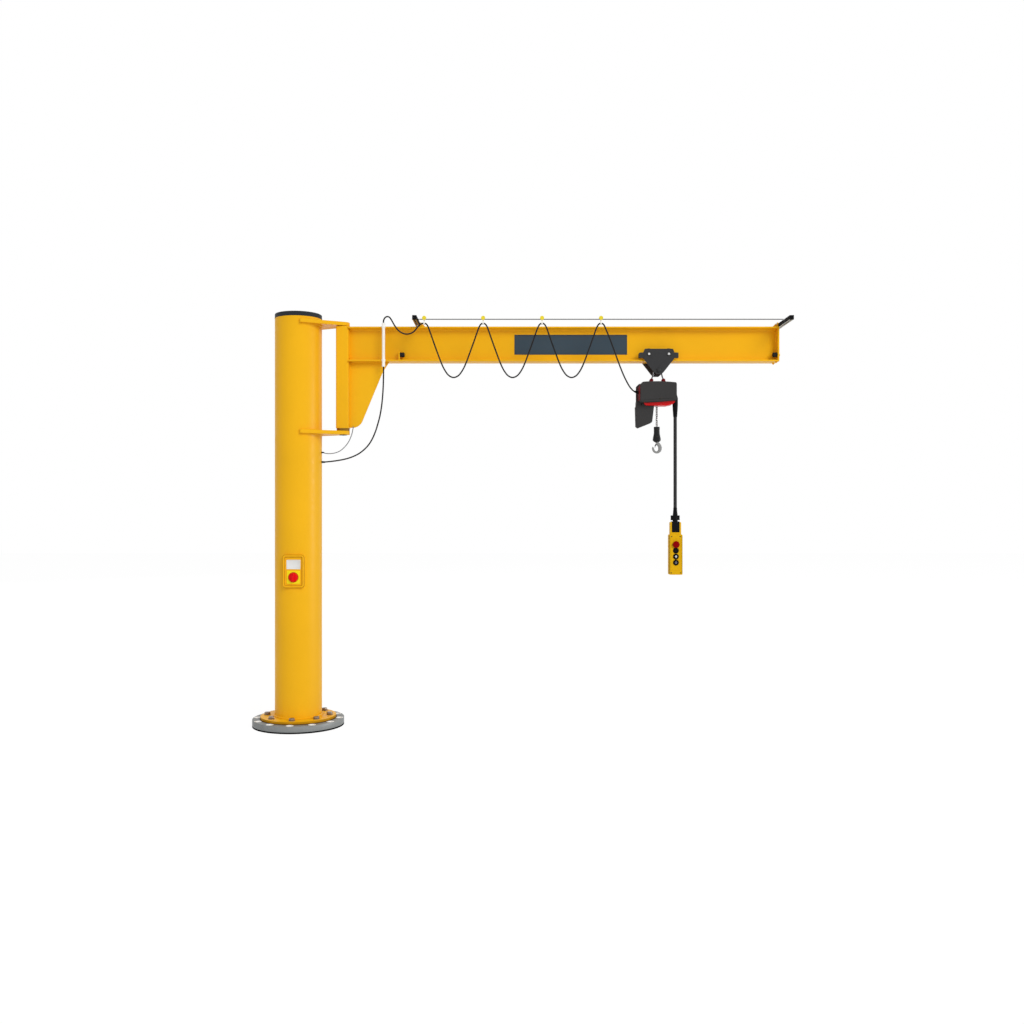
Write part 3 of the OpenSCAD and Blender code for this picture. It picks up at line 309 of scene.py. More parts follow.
class PaintShop:
    """Makes each finish's material once, and puts finishes on nodes and pieces."""

    BROAD = {"Scale": 2.3, "Detail": 3.0, "Roughness": 0.55}
    PATCH = {"Scale": 34.0, "Detail": 6.0, "Roughness": 0.7}
    GLOSS_LOW, GLOSS_HIGH = -0.06, 0.1
    BUMP_STRENGTH = 0.6

    def __init__(self, frame: dict) -> None:
        """Keeps the loaded frame, and the body that each CAD node rides on."""
        self.frame = frame
        self.made: dict[str, bpy.types.Material] = {}
        self.body_of = {node: body for body, nodes
                        in frame["record"]["behaviour"]["bodies"].items() for node in nodes}

    def material(self, finish: Finish) -> bpy.types.Material:
        """Builds the material of a finish, or returns the one already made.

        Args:
            finish: the finish to mix.

        Returns:
            Its material.
        """
        if finish.name in self.made:
            return self.made[finish.name]
        made = bpy.data.materials.new(finish.name)
        made.use_nodes = True
        made.diffuse_color = linear(finish.colour)
        wiring = Wiring(made.node_tree)
        shader = made.node_tree.nodes["Principled BSDF"]
        grain: Grain = finish.surface.value
        place = wiring.node("ShaderNodeTexCoord", outlet="Object")
        drawn = wiring.node("ShaderNodeMapping", {"Vector": place, "Scale": grain.stretch})
        broad = wiring.node("ShaderNodeTexNoise", {"Vector": place, **self.BROAD})
        patch = wiring.node("ShaderNodeTexNoise", {"Vector": drawn, **self.PATCH})
        fine = self.relief(wiring, place, drawn, finish)
        light, dark = ([min(1.0, c * (1 + change)) for c in linear(finish.colour)[:3]] + [1.0]
                       for change in (finish.mottle, -finish.mottle))
        tone = wiring.mixed(broad.spread(0.3, 0.7), dark, light)
        speck = wiring.mixed(fine.spread(0.35, 0.8, 0.0, 0.35), tone, dark)
        if finish.wear:
            rubbed = patch.spread(0.52, 0.74, 0.0, finish.wear)
            speck = wiring.mixed(rubbed, speck, linear(finish.worn))
        wiring.feed(shader.inputs["Base Color"], speck)
        gloss = patch.spread(0.3, 0.75, finish.roughness + self.GLOSS_LOW,
                             finish.roughness + self.GLOSS_HIGH)
        wiring.feed(shader.inputs["Roughness"], gloss)
        shader.inputs["Metallic"].default_value = finish.metallic
        shader.inputs["Specular IOR Level"].default_value = finish.specular
        bump = wiring.node("ShaderNodeBump", {"Height": fine, "Distance": grain.relief,
                                              "Strength": self.BUMP_STRENGTH},
                           outlet="Normal")
        wiring.feed(shader.inputs["Normal"], bump)
        self.made[finish.name] = made
        return made

    @staticmethod
    def relief(wiring: Wiring, place: Signal, drawn: Signal, finish: Finish) -> Signal:
        """Wires the fine pattern that gives a surface its grain.

        Args:
            wiring: the material's wiring.
            place: plain object coordinates.
            drawn: object coordinates drawn out along the grain.
            finish: the finish being mixed.

        Returns:
            The pattern, from nought to one.
        """
        grain: Grain = finish.surface.value
        scale = 1 / grain.size
        if finish.surface is Surface.STRAND:
            return wiring.node("ShaderNodeTexWave",
                               {"Vector": place, "Scale": scale / 6, "Distortion": 0.0},
                               outlet="Fac", wave_type="BANDS", bands_direction="DIAGONAL")
        if finish.surface is Surface.MOULDED:
            return wiring.node("ShaderNodeTexVoronoi", {"Vector": drawn, "Scale": scale},
                               outlet="Distance", feature="SMOOTH_F1")
        return wiring.node("ShaderNodeTexNoise",
                           {"Vector": drawn, "Scale": scale, "Detail": grain.detail})

    def dress(self, piece: Piece, finish: Finish, body: str, *stands_for: str) -> Piece:
        """Gives a piece its material and its body, and hides the CAD nodes that it stands for.

        Args:
            piece: the finished mesh.
            finish: what it is painted or made of.
            body: the body that it moves with, or an empty string for a piece on no body.
            stands_for: CAD nodes that the piece replaces.

        Returns:
            The same piece.
        """
        piece.data.materials.clear()
        piece.data.materials.append(self.material(finish))
        if body:
            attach(piece, body)
        if stands_for:
            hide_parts(*stands_for)
        LOG.info("%s: %s faces, rides on %s", piece.name, len(piece.data.polygons), body or "two")
        return piece

    def coat(self, finish: Finish, *nodes: str) -> None:
        """Puts a finish on CAD nodes as they are."""
        for node in nodes:
            for slot in self.frame["nodes"][node].material_slots:
                slot.material = self.material(finish)

    def eased(self, node: str, finish: Finish, width: float, segments: int = 2) -> Piece:
        """Copies a CAD node and rounds its sharp edges, as on the real plate or moulding.

        Args:
            node: the CAD node's name.
            finish: its finish.
            width: width of the rounded edges.
            segments: how many faces round an edge.

        Returns:
            The copy, which stands for the node.
        """
        source = self.frame["nodes"][node]
        copy = source.copy()
        copy.data = source.data.copy()
        copy.parent = None
        copy.name = node + "_dressed"
        bpy.context.collection.objects.link(copy)
        Bench.merged(copy, FACET_GAP)
        with Bench.editing(copy):
            bpy.ops.mesh.dissolve_limited(angle_limit=FLAT_ANGLE)
        Bench.ease(copy, width, segments)
        return self.dress(copy, finish, self.body_of[node], node)

    def repaint(self, piece: Piece, finish: Finish,
                test: Callable[[Vector], bool]) -> None:
        """Gives a second finish to the faces of a piece whose centres pass a test."""
        piece.data.materials.append(self.material(finish))
        for face in piece.data.polygons:
            if test(face.center):
                face.material_index = len(piece.data.materials) - 1


# ---------------------------------------------------------------- bench


class Bench:
    """Moves for modelling one mesh piece by hand with Blender's operators."""

    @staticmethod
    def take(*pieces: Piece) -> None:
        """Deselects everything, then selects these pieces with the first one active."""
        if bpy.context.object and bpy.context.object.mode != "OBJECT":
            bpy.ops.object.mode_set(mode="OBJECT")
        bpy.ops.object.select_all(action="DESELECT")
        for piece in pieces:
            piece.select_set(True)
        bpy.context.view_layer.objects.active = pieces[0] if pieces else None

    @staticmethod
    def settle(piece: Piece) -> Piece:
        """Puts a piece's place, turn and scale into its mesh."""
        Bench.take(piece)
        bpy.ops.object.transform_apply(location=True, rotation=True, scale=True)
        return piece

    @staticmethod
    @contextmanager
    def editing(piece: Piece, faces: Callable[[bpy.types.MeshPolygon], bool] | None = None,
                points: Callable[[bpy.types.MeshVertex], bool] | None = None) -> Iterator[None]:
        """Opens a piece in edit mode for one block of moves, with all of it selected.

        Args:
            piece: the mesh.
            faces: a test, where only the faces that pass are selected.
            points: a test, where only the points that pass are selected.
        """
        Bench.take(piece)
        bpy.ops.object.mode_set(mode="EDIT")
        bpy.ops.mesh.select_mode(type="FACE" if faces else "VERT")
        test = faces or points
        bpy.ops.mesh.select_all(action="DESELECT" if test else "SELECT")
        if test:
            bpy.ops.object.mode_set(mode="OBJECT")
            for element in piece.data.polygons if faces else piece.data.vertices:
                element.select = test(element)
            bpy.ops.object.mode_set(mode="EDIT")
        yield
        bpy.ops.object.mode_set(mode="OBJECT")

    @staticmethod
    def merged(piece: Piece, gap: float = 0.000001) -> Piece:
        """Merges doubled points and turns all faces outwards."""
        with Bench.editing(piece):
            bpy.ops.mesh.remove_doubles(threshold=gap)
            bpy.ops.mesh.normals_make_consistent(inside=False)
        return piece

    @staticmethod
    def ease(piece: Piece, width: float, segments: int = 2, angle: float = 34.0) -> Piece:
        """Bevels the sharp edges of a piece and smooths its shading.

        Args:
            piece: the mesh.
            width: width of the bevel, or nought for shading alone.
            segments: how many faces round an edge.
            angle: edges sharper than this many degrees are bevelled.

        Returns:
            The same piece.
        """
        Bench.take(piece)
        if width:
            bevel = piece.modifiers.new("edges", "BEVEL")
            bevel.width = width
            bevel.segments = segments
            bevel.limit_method = "ANGLE"
            bevel.angle_limit = math.radians(angle)
            bevel.use_clamp_overlap = True
            bpy.ops.object.modifier_apply(modifier=bevel.name)
        bpy.ops.object.shade_smooth_by_angle(angle=SMOOTH_ANGLE)
        return piece

    @staticmethod
    def drawn(name: str, points: Sequence[Point], closed: bool = False) -> Piece:
        """Draws a chain of edges from point to point.

        Args:
            name: the piece's name.
            points: the corners in order.
            closed: whether the chain returns to its first point.

        Returns:
            A mesh of edges alone.
        """
        chain = [Vector(p) for p in points] + ([Vector(points[0])] if closed else [])
        Bench.take()
        bpy.ops.mesh.primitive_plane_add(size=0.001, location=chain[0])
        piece = Bench.settle(bpy.context.object)
        piece.name = name
        with Bench.editing(piece):
            bpy.ops.mesh.merge(type="CENTER")
            for here, there in zip(chain, chain[1:]):
                bpy.ops.mesh.extrude_vertices_move(
                    TRANSFORM_OT_translate={"value": there - here})
            bpy.ops.mesh.select_all(action="SELECT")
            bpy.ops.mesh.remove_doubles(threshold=0.000002)
        return piece

    @staticmethod
    def turned(name: str, profile: Sequence[Flat], foot: Point, axis: Point = (0, 0, 1),
               steps: int = 48, edge: float = 0.0) -> Piece:
        """Turns a profile of radius and height about an axis.

        Args:
            name: the piece's name.
            profile: radius and height along the axis of each corner.
            foot: where height nought lies.
            axis: direction of the axis.
            steps: how many faces go round.
            edge: width of the bevel on sharp edges.

        Returns:
            The turned piece, at its place.
        """
        piece = Bench.drawn(name, [(r, 0.0, h) for r, h in profile])
        with Bench.editing(piece):
            bpy.ops.mesh.spin(steps=steps, angle=FULL_TURN, center=(0, 0, 0), axis=(0, 0, 1))
        Bench.merged(piece)
        piece.rotation_euler = Vector(axis).to_track_quat("Z", "Y").to_euler()
        piece.location = foot
        return Bench.ease(Bench.settle(piece), edge)

    @staticmethod
    def plate(name: str, outline: Sequence[Flat], level: float, depth: float,
              edge: float = 0.0, across: str = "y") -> Piece:
        """Cuts a plate to an outline.

        Args:
            name: the piece's name.
            outline: corners in the two other axes, in X, Y, Z order.
            level: where the first face lies along the axis across the plate.
            depth: thickness, towards the positive side.
            edge: width of the bevel on sharp edges.
            across: the axis across the plate, x, y or z.

        Returns:
            The plate, at its place.
        """
        put = {"x": lambda u, v: (level, u, v), "y": lambda u, v: (u, level, v),
               "z": lambda u, v: (u, v, level)}[across]
        move = {"x": (depth, 0, 0), "y": (0, depth, 0), "z": (0, 0, depth)}[across]
        piece = Bench.drawn(name, [put(u, v) for u, v in outline], closed=True)
        with Bench.editing(piece):
            bpy.ops.mesh.edge_face_add()
            bpy.ops.mesh.extrude_region_move(TRANSFORM_OT_translate={"value": move})
        return Bench.ease(Bench.merged(piece), edge)

    @staticmethod
    def block(name: str, low: Point, high: Point, edge: float, segments: int = 2) -> Piece:
        """Makes a block between two corners, with rounded edges."""
        middle = (Vector(low) + Vector(high)) / 2
        Bench.take()
        bpy.ops.mesh.primitive_cube_add(size=1, location=middle,
                                        scale=Vector(high) - Vector(low))
        piece = bpy.context.object
        piece.name = name
        return Bench.ease(Bench.settle(piece), edge, segments)

    @staticmethod
    def hexagon(name: str, foot: Point, axis: Point, flats: float, height: float) -> Piece:
        """Makes a chamfered hexagon head or nut.

        Args:
            name: the piece's name.
            foot: centre of its lower face.
            axis: the way it stands up.
            flats: width across flats.
            height: its height.

        Returns:
            The hexagon, at its place.
        """
        Bench.take()
        bpy.ops.mesh.primitive_cylinder_add(vertices=6, radius=flats / 2 / math.cos(math.pi / 6),
                                            depth=height, location=(0, 0, height / 2))
        piece = Bench.settle(bpy.context.object)
        piece.name = name
        with Bench.editing(piece, faces=lambda face: face.normal.z > FACING):
            bpy.ops.mesh.extrude_region_move(TRANSFORM_OT_translate={"value": (0, 0, 0)})
            bpy.ops.transform.resize(value=(0.86, 0.86, 1))
            bpy.ops.transform.translate(value=(0, 0, flats * 0.05))
        Bench.ease(piece, flats * 0.02, 2, 20)
        piece.rotation_euler = Vector(axis).to_track_quat("Z", "Y").to_euler()
        piece.location = foot
        return Bench.settle(piece)

    @staticmethod
    def tube(name: str, points: Sequence[Point], radius: float, closed: bool = False,
             ripple: float = 0.0, radii: Sequence[float] | None = None,
             fineness: int = 3) -> Piece:
        """Lays a round bar, cable or weld bead along a path.

        Args:
            name: the piece's name.
            points: the path.
            radius: its radius.
            closed: whether the path is a ring.
            ripple: share by which every other point is thicker, as on a weld bead.
            radii: radius at each point, instead of one radius for all.
            fineness: Blender's bevel resolution round the bar.

        Returns:
            The bar as a mesh, with its ends closed.
        """
        line = bpy.data.curves.new(name, "CURVE")
        line.dimensions = "3D"
        spline = line.splines.new("POLY")
        spline.points.add(len(points) - 1)
        for i, point in enumerate(points):
            spline.points[i].co = (*point, 1.0)
            spline.points[i].radius = radii[i] / radius if radii else 1 + ripple * (i % 2)
        spline.use_cyclic_u = closed
        line.bevel_depth = radius
        line.bevel_resolution = fineness
        line.use_fill_caps = not closed
        piece = bpy.data.objects.new(name, line)
        bpy.context.collection.objects.link(piece)
        Bench.take(piece)
        bpy.ops.object.convert(target="MESH")
        piece = bpy.context.object
        return Bench.ease(Bench.merged(piece), 0.0)

    @staticmethod
    def faces_front(face: bpy.types.MeshPolygon) -> bool:
        """Tells whether a face looks to the front."""
        return face.normal.y < -FACING

    @staticmethod
    def stepped(piece: Piece, *steps: Flat) -> Piece:
        """Insets the front face step by step, each with its width and its height."""
        with Bench.editing(piece, faces=Bench.faces_front):
            for thickness, depth in steps:
                bpy.ops.mesh.inset(thickness=thickness, depth=depth)
        return piece

    @staticmethod
    def joined(*pieces: Piece) -> Piece:
        """Joins pieces into the first one."""
        Bench.take(*pieces)
        if len(pieces) > 1:
            bpy.ops.object.join()
        return pieces[0]

    @staticmethod
    def copied(piece: Piece, moves: Sequence[Matrix]) -> Piece:
        """Repeats a piece at more places, and joins them all.

        Args:
            piece: the piece that was modelled.
            moves: where each further copy goes, as a move of the first one.

        Returns:
            The first piece with all its copies in one mesh.
        """
        copies = [piece]
        for move in moves:
            Bench.take(piece)
            bpy.ops.object.duplicate()
            copy = bpy.context.object
            copy.matrix_world = move @ copy.matrix_world
            copies.append(Bench.settle(copy))
        return Bench.joined(*copies)

    @staticmethod
    def ringed(piece: Piece, count: int, centre: Point = (0, 0, 0),
               axis: str = "Z") -> Piece:
        """Repeats a piece evenly round an axis."""
        hub = Matrix.Translation(centre)
        return Bench.copied(piece, [
            hub @ Matrix.Rotation(FULL_TURN * i / count, 4, axis) @ hub.inverted()
            for i in range(1, count)])

    @staticmethod
    def mirrored(piece: Piece, normal: Point = (0, 1, 0), through: Point = (0, 0, 0)) -> Piece:
        """Adds the mirror image of a piece, with its faces turned outwards."""
        hub = Matrix.Translation(through)
        flip = hub @ Matrix.Scale(-1, 4, normal) @ hub.inverted()
        return Bench.merged(Bench.copied(piece, [flip]))


def shifts(*offsets: Point) -> list[Matrix]:
    """Turns offsets into moves for copies."""
    return [Matrix.Translation(offset) for offset in offsets]


def smoothed(route: Sequence[Point], between: int = 4) -> list[Point]:
    """Runs one smooth curve through the points of a route.

    Args:
        route: the points that a cable passes.
        between: how many steps lie between two of them.

    Returns:
        A finer list of points on a Catmull-Rom curve.
    """
    ends = [Vector(p) for p in route]
    ends = [2 * ends[0] - ends[1]] + ends + [2 * ends[-1] - ends[-2]]
    fine: list[Point] = []
    for a, b, c, d in zip(ends, ends[1:], ends[2:], ends[3:]):
        for k in range(between):
            t = k / between
            fine.append(tuple(0.5 * (2 * b + (c - a) * t + (2 * a - 5 * b + 4 * c - d) * t * t
                                     + (3 * b - a - 3 * c + d) * t ** 3)))
    return fine + [tuple(ends[-2])]


def arc(radius: float, start: float, end: float, steps: int, centre: Point,
        plane: str = "xy") -> list[Point]:
    """Points of an arc, from one angle in degrees to another, in the plane of two axes."""
    points = []
    for i in range(steps + 1):
        angle = math.radians(start + (end - start) * i / steps)
        u, v = radius * math.cos(angle), radius * math.sin(angle)
        offset = {"xy": (u, v, 0.0), "xz": (u, 0.0, v), "yz": (0.0, u, v)}[plane]
        points.append(tuple(Vector(centre) + Vector(offset)))
    return points


# ---------------------------------------------------------------- studio


@dataclass
class Studio:
    """Camera, soft lamps, white surroundings and a pale floor."""

    eye: Point = (1.494, -7.175, 1.4875)
    lens: float = 36.04
    aim: Point = (1.4, 0.0, 1.4)
    daylight: float = 0.56
    lamps: tuple[tuple[str, Point, float, float, str], ...] = (
        ("key_lamp", (20.7, -29.5, 20.3), 17.0, 7000.0, "visible_glossy"),
        ("back_lamp", (-7.0, 12.0, 8.0), 6.0, 420.0, "visible_glossy"),
        ("strip_lamp", (12.0, -1.0, 2.2), 2.0, 450.0, "visible_diffuse"))
    floor_size: float = 60.0
    floor_z: float = -0.0005
    floor_grey: float = 0.86
    floor_glow: float = 1.08
    glow_share: float = 0.84

    def build(self) -> None:
        """Sets up the whole studio."""
        bpy.context.scene.view_settings.view_transform = "Standard"
        self.camera()
        for name, place, size, watts, unseen_by in self.lamps:
            setattr(self.lamp(name, place, size, watts), unseen_by, False)
        self.surroundings()
        self.floor()

    def camera(self) -> None:
        """Stands a level camera in front of the crane."""
        data = bpy.data.cameras.new("camera")
        data.lens, data.sensor_width = self.lens, 36.0
        camera = bpy.data.objects.new("camera", data)
        camera.location = self.eye
        camera.rotation_euler = (math.radians(90), 0, 0)
        bpy.context.collection.objects.link(camera)
        bpy.context.scene.camera = camera

    def lamp(self, name: str, place: Point, size: float, watts: float) -> Piece:
        """Hangs one soft square lamp that is aimed at the crane, and returns it."""
        data = bpy.data.lights.new(name, "AREA")
        data.size, data.energy = size, watts
        lamp = bpy.data.objects.new(name, data)
        lamp.location = place
        lamp.rotation_euler = (Vector(self.aim) - Vector(place)).to_track_quat("-Z", "Y").to_euler()
        bpy.context.collection.objects.link(lamp)
        return lamp

    @staticmethod
    def seen(wiring: Wiring) -> Signal:
        """Is one for rays that show the background itself: camera, glossy and transmission."""
        camera, glossy, through = (wiring.node("ShaderNodeLightPath", outlet=name) for name in
                                   ("Is Camera Ray", "Is Glossy Ray", "Is Transmission Ray"))
        return camera.maths("MAXIMUM", glossy).maths("MAXIMUM", through)

    def surroundings(self) -> None:
        """Makes the world white to the eye, and a plain soft light to the crane."""
        world = bpy.data.worlds.new("studio")
        world.use_nodes = True
        bpy.context.scene.world = world
        wiring = Wiring(world.node_tree)
        backdrop = world.node_tree.nodes["Background"]
        backdrop.inputs["Color"].default_value = (1, 1, 1, 1)
        wiring.feed(backdrop.inputs["Strength"],
                    self.seen(wiring) * (1 - self.daylight) + self.daylight)

    def floor(self) -> None:
        """Lays a pale floor that keeps a faint shadow."""
        Bench.take()
        bpy.ops.mesh.primitive_plane_add(size=self.floor_size, location=(0, 0, self.floor_z))
        floor = Bench.settle(bpy.context.object)
        floor.name = "studio_floor"
        paint = bpy.data.materials.new("studio_floor")
        paint.use_nodes = True
        wiring = Wiring(paint.node_tree)
        paint.node_tree.nodes.remove(paint.node_tree.nodes["Principled BSDF"])
        matt = wiring.node("ShaderNodeBsdfDiffuse", {"Color": (*[self.floor_grey] * 3, 1)})
        glow = wiring.node("ShaderNodeEmission", {"Color": (1, 1, 1, 1),
                                                  "Strength": self.floor_glow})
        mix = wiring.node("ShaderNodeMixShader",
                          {0: self.seen(wiring) * self.glow_share, 1: matt, 2: glow})
        wiring.feed(paint.node_tree.nodes["Material Output"].inputs["Surface"], mix)
        floor.data.materials.append(paint)


@dataclass
class Part:
    """A sub-assembly that takes its finishes from the paint shop."""

    shop: PaintShop


# ---------------------------------------------------------------- cables


@dataclass
class Cabling(Part):
    """Power, earth and festoon cables, each one smooth curve along its route."""

    cable: float = 0.005
    earth: float = 0.003
    glider_x: float = GLIDER_X
    pitch: float = GLIDER_PITCH
    drop: float = 0.367
    wire_y: float = WIRE_Y
    clip_z: float = CLIP_Z
    sway: float = 0.006
    sway_from: float = 0.08
    sway_back: float = 0.2
    supply: tuple[Point, ...] = (
        (0.164, 0, 1.837), (0.19, -0.001, 1.838), (0.226, -0.003, 1.841), (0.28, -0.008, 1.848),
        (0.328, -0.014, 1.857), (0.376, -0.02, 1.871), (0.424, -0.028, 1.893),
        (0.462, -0.036, 1.92), (0.494, -0.042, 1.952), (0.52, -0.05, 1.99),
        (0.543, -0.058, 2.038), (0.562, -0.065, 2.093), (0.58, -0.07, 2.16),
        (0.593, -0.074, 2.24), (0.601, -0.075, 2.335), (0.604, -0.075, 2.43),
        (0.604, -0.075, 2.495))
    earthing: tuple[Point, ...] = (
        (0.164, 0, 1.904), (0.19, -0.001, 1.898), (0.223, -0.002, 1.896),
        (0.261, -0.004, 1.902), (0.293, -0.006, 1.916), (0.322, -0.008, 1.94),
        (0.346, -0.009, 1.969), (0.364, -0.01, 2.003), (0.377, -0.01, 2.04),
        (0.385, -0.01, 2.085))
    riser: tuple[Point, ...] = (
        (0.604, -0.075, 2.794), (0.604, -0.075, 2.81), (0.61, -0.076, 2.827),
        (0.622, -0.078, 2.838), (0.638, -0.081, 2.839), (0.652, -0.088, 2.828),
        (0.667, -0.096, 2.804), (0.68, -0.104, 2.78), (0.696, -0.115, 2.757),
        (0.713, -0.127, 2.736), (0.735, -0.143, 2.718), (0.765, -0.163, 2.705),
        (0.795, -0.178, 2.704), (0.82, -0.19, 2.713), (0.84, -0.2, 2.73),
        (0.856, -0.207, 2.75), (0.873, -0.214, 2.763), (0.885, -0.219, 2.767),
        (0.896, -0.22, 2.767))
    hoist: tuple[Point, ...] = (
        (2.1, -0.22, 2.767), (2.104, -0.22, 2.767), (2.112, -0.219, 2.763),
        (2.121, -0.217, 2.752), (2.134, -0.212, 2.724), (2.15, -0.204, 2.69),
        (2.17, -0.192, 2.643), (2.192, -0.176, 2.59), (2.215, -0.157, 2.534),
        (2.238, -0.136, 2.481), (2.262, -0.112, 2.432), (2.285, -0.088, 2.393),
        (2.306, -0.064, 2.363), (2.327, -0.04, 2.342), (2.346, -0.02, 2.33),
        (2.366, -0.006, 2.325))
    half_loop: tuple[Flat, ...] = (
        (0.005, 0.0), (0.012, 0.0), (0.03, -0.008), (0.05, -0.03), (0.07, -0.07),
        (0.09, -0.125), (0.125, -0.235), (0.165, -0.36), (0.205, -0.48), (0.245, -0.6),
        (0.285, -0.715), (0.325, -0.815), (0.37, -0.9), (0.415, -0.96), (0.46, -0.99),
        (0.5, -1.0))

    def build(self) -> None:
        self.lay("supply_cable", self.supply, self.cable, SHEATH_BLACK,
                 ("column", "jib"), (0.25, 0, 1.84), (0.55, 0, 1.84))
        self.lay("earth_cable", self.earthing, self.earth, SHEATH_GREY,
                 ("column", "jib"), (0.36, 0, 1.99), (0.36, 0, 2.076))
        self.lay("riser_cable", self.riser, self.cable, SHEATH_BLACK, ("jib",))
        for i, (here, there) in enumerate(zip("abc", "bcd")):
            x = self.glider_x + i * self.pitch
            self.lay(f"festoon_loop_{i + 1}", self.loop(i), self.cable, SHEATH_BLACK,
                     (f"glider_{here}", f"glider_{there}"),
                     (x, self.wire_y, self.clip_z), (x + self.pitch, self.wire_y, self.clip_z))
        self.lay("hoist_cable", self.hoist, self.cable, SHEATH_BLACK, ("glider_d", "trolley"),
                 (2.1, self.wire_y, self.clip_z), (2.366, self.wire_y, self.clip_z))

    def loop(self, index: int) -> list[Point]:
        """Route of one festoon loop, whose two sides sway a little apart.

        Args:
            index: number of the loop, from nought.

        Returns:
            The points from one glider down and up to the next.
        """
        shares = list(self.half_loop) + [(1 - u, v) for u, v in reversed(self.half_loop[:-1])]
        points = []
        for u, v in shares:
            near = min(1.0, min(u, 1 - u) / self.sway_from)
            side = math.copysign(near * near * (3 - 2 * near), 0.5 - u)
            side *= min(1.0, abs(0.5 - u) / self.sway_back)
            points.append((self.glider_x + (index + u) * self.pitch,
                           self.wire_y - side * self.sway, self.clip_z + v * self.drop))
        return points

    def lay(self, name: str, route: Sequence[Point], radius: float, finish: Finish,
            bodies: tuple[str, ...], start: Point = (0, 0, 0), end: Point = (0, 0, 0)) -> None:
        """Lays one cable along its route.

        Args:
            name: the CAD node that it stands for.
            route: the points that it passes.
            radius: its radius.
            finish: its sheath.
            bodies: the body that it rides on, or the two that it hangs between.
            start: not used; where it would stop following the first body.
            end: not used; where it would follow the second body only.
        """
        path = list(route) if len(route) > 15 else smoothed(route, 2)
        piece = Bench.tube(name + "_run", smoothed(path, 3), radius)
        if len(bodies) == 1:
            self.shop.dress(piece, finish, bodies[0], name)
        else:
            self.shop.dress(piece, finish, "", name)
            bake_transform(piece)


# ---------------------------------------------------------------- base and column


@dataclass
class Base(Part):
    """Pad, anchor plate with its holes, foot flange and flange bolts."""

    anchor_circle: float = 0.286
    anchor_hole: float = 0.021
    anchor_count: int = 12
    plate_foot: float = 0.01
    plate_top: float = 0.05
    flange_top: float = 0.07
    bolt_circle: float = 0.218
    bolt_count: int = 8
    washer: float = 0.022
    head_flats: float = 0.036
    column_r: float = 0.16195
    flange_r: float = 0.26

    def build(self) -> None:
        """Dresses the base."""
        self.shop.coat(PAD_BLACK, "floor_pad")
        self.shop.eased("anchor_plate", PLATE_GREY, 0.0012)
        flange = self.shop.eased("base_flange", YELLOW, 0.0014)
        # Painted shade: the flange's outer rim is painted a darker yellow.
        self.shop.repaint(flange, YELLOW_SHADE, lambda centre: math.hypot(
            centre.x, centre.y) > self.flange_r - 0.0004)
        self.sleeves()
        self.bolts()
        self.foot_weld()
        # Dark ring on the plate round the flange: painted shadow under the flange's edge.
        ring = arc(self.flange_r + 0.0006, 0, 360, 96, (0, 0, self.plate_top + 0.0012))[:-1]
        self.shop.dress(Bench.tube("flange_shadow_ring", ring, 0.0036, closed=True), FLANGE_SHADOW,
                        "column")

    def sleeves(self) -> None:
        """Lines the anchor holes with bright sleeves."""
        r = self.anchor_hole
        ring = Bench.turned("anchor_hole_sleeves", [
            (r - 0.0002, 0.0008), (r - 0.0002, 0.0401), (r + 0.0052, 0.0401),
            (r + 0.0054, 0.0408), (r - 0.0012, 0.0412), (r - 0.0017, 0.0405),
            (r - 0.0017, 0.0012), (r - 0.0002, 0.0008)],
            (0, -self.anchor_circle, self.plate_foot), steps=32)
        self.shop.dress(Bench.ringed(ring, self.anchor_count), HOLE_LINER, "column")

    def bolts(self) -> None:
        """Models one flange bolt with its washer and copies it round the flange."""
        spot = (0, -self.bolt_circle, self.flange_top)
        washer = Bench.turned("flange_bolt_heads", [
            (0.0, 0.0001), (self.washer, 0.0001), (self.washer, 0.0032),
            (self.washer - 0.001, 0.004), (0.0, 0.004)], spot, steps=32)
        head = Bench.hexagon("head", (0, -self.bolt_circle, self.flange_top + 0.004),
                             (0, 0, 1), self.head_flats, 0.013)
        crown = Bench.turned("crown", [
            (0.0, 0.0145), (0.0, 0.0175), (0.008, 0.0172), (0.0135, 0.0165), (0.0145, 0.0145)],
            (0, -self.bolt_circle, self.flange_top), steps=24)
        bolt = Bench.joined(washer, head, crown)
        self.shop.dress(Bench.ringed(bolt, self.bolt_count), BOLT_STEEL, "column", "flange_bolts")

    def foot_weld(self) -> None:
        """Runs the weld bead between the column and its flange."""
        ring = arc(self.column_r + 0.0045, 0, 360, 176, (0, 0, self.flange_top + 0.0045))[:-1]
        self.shop.dress(Bench.tube("foot_weld", ring, 0.0058, closed=True, ripple=0.14,
                                   fineness=2), YELLOW, "column")


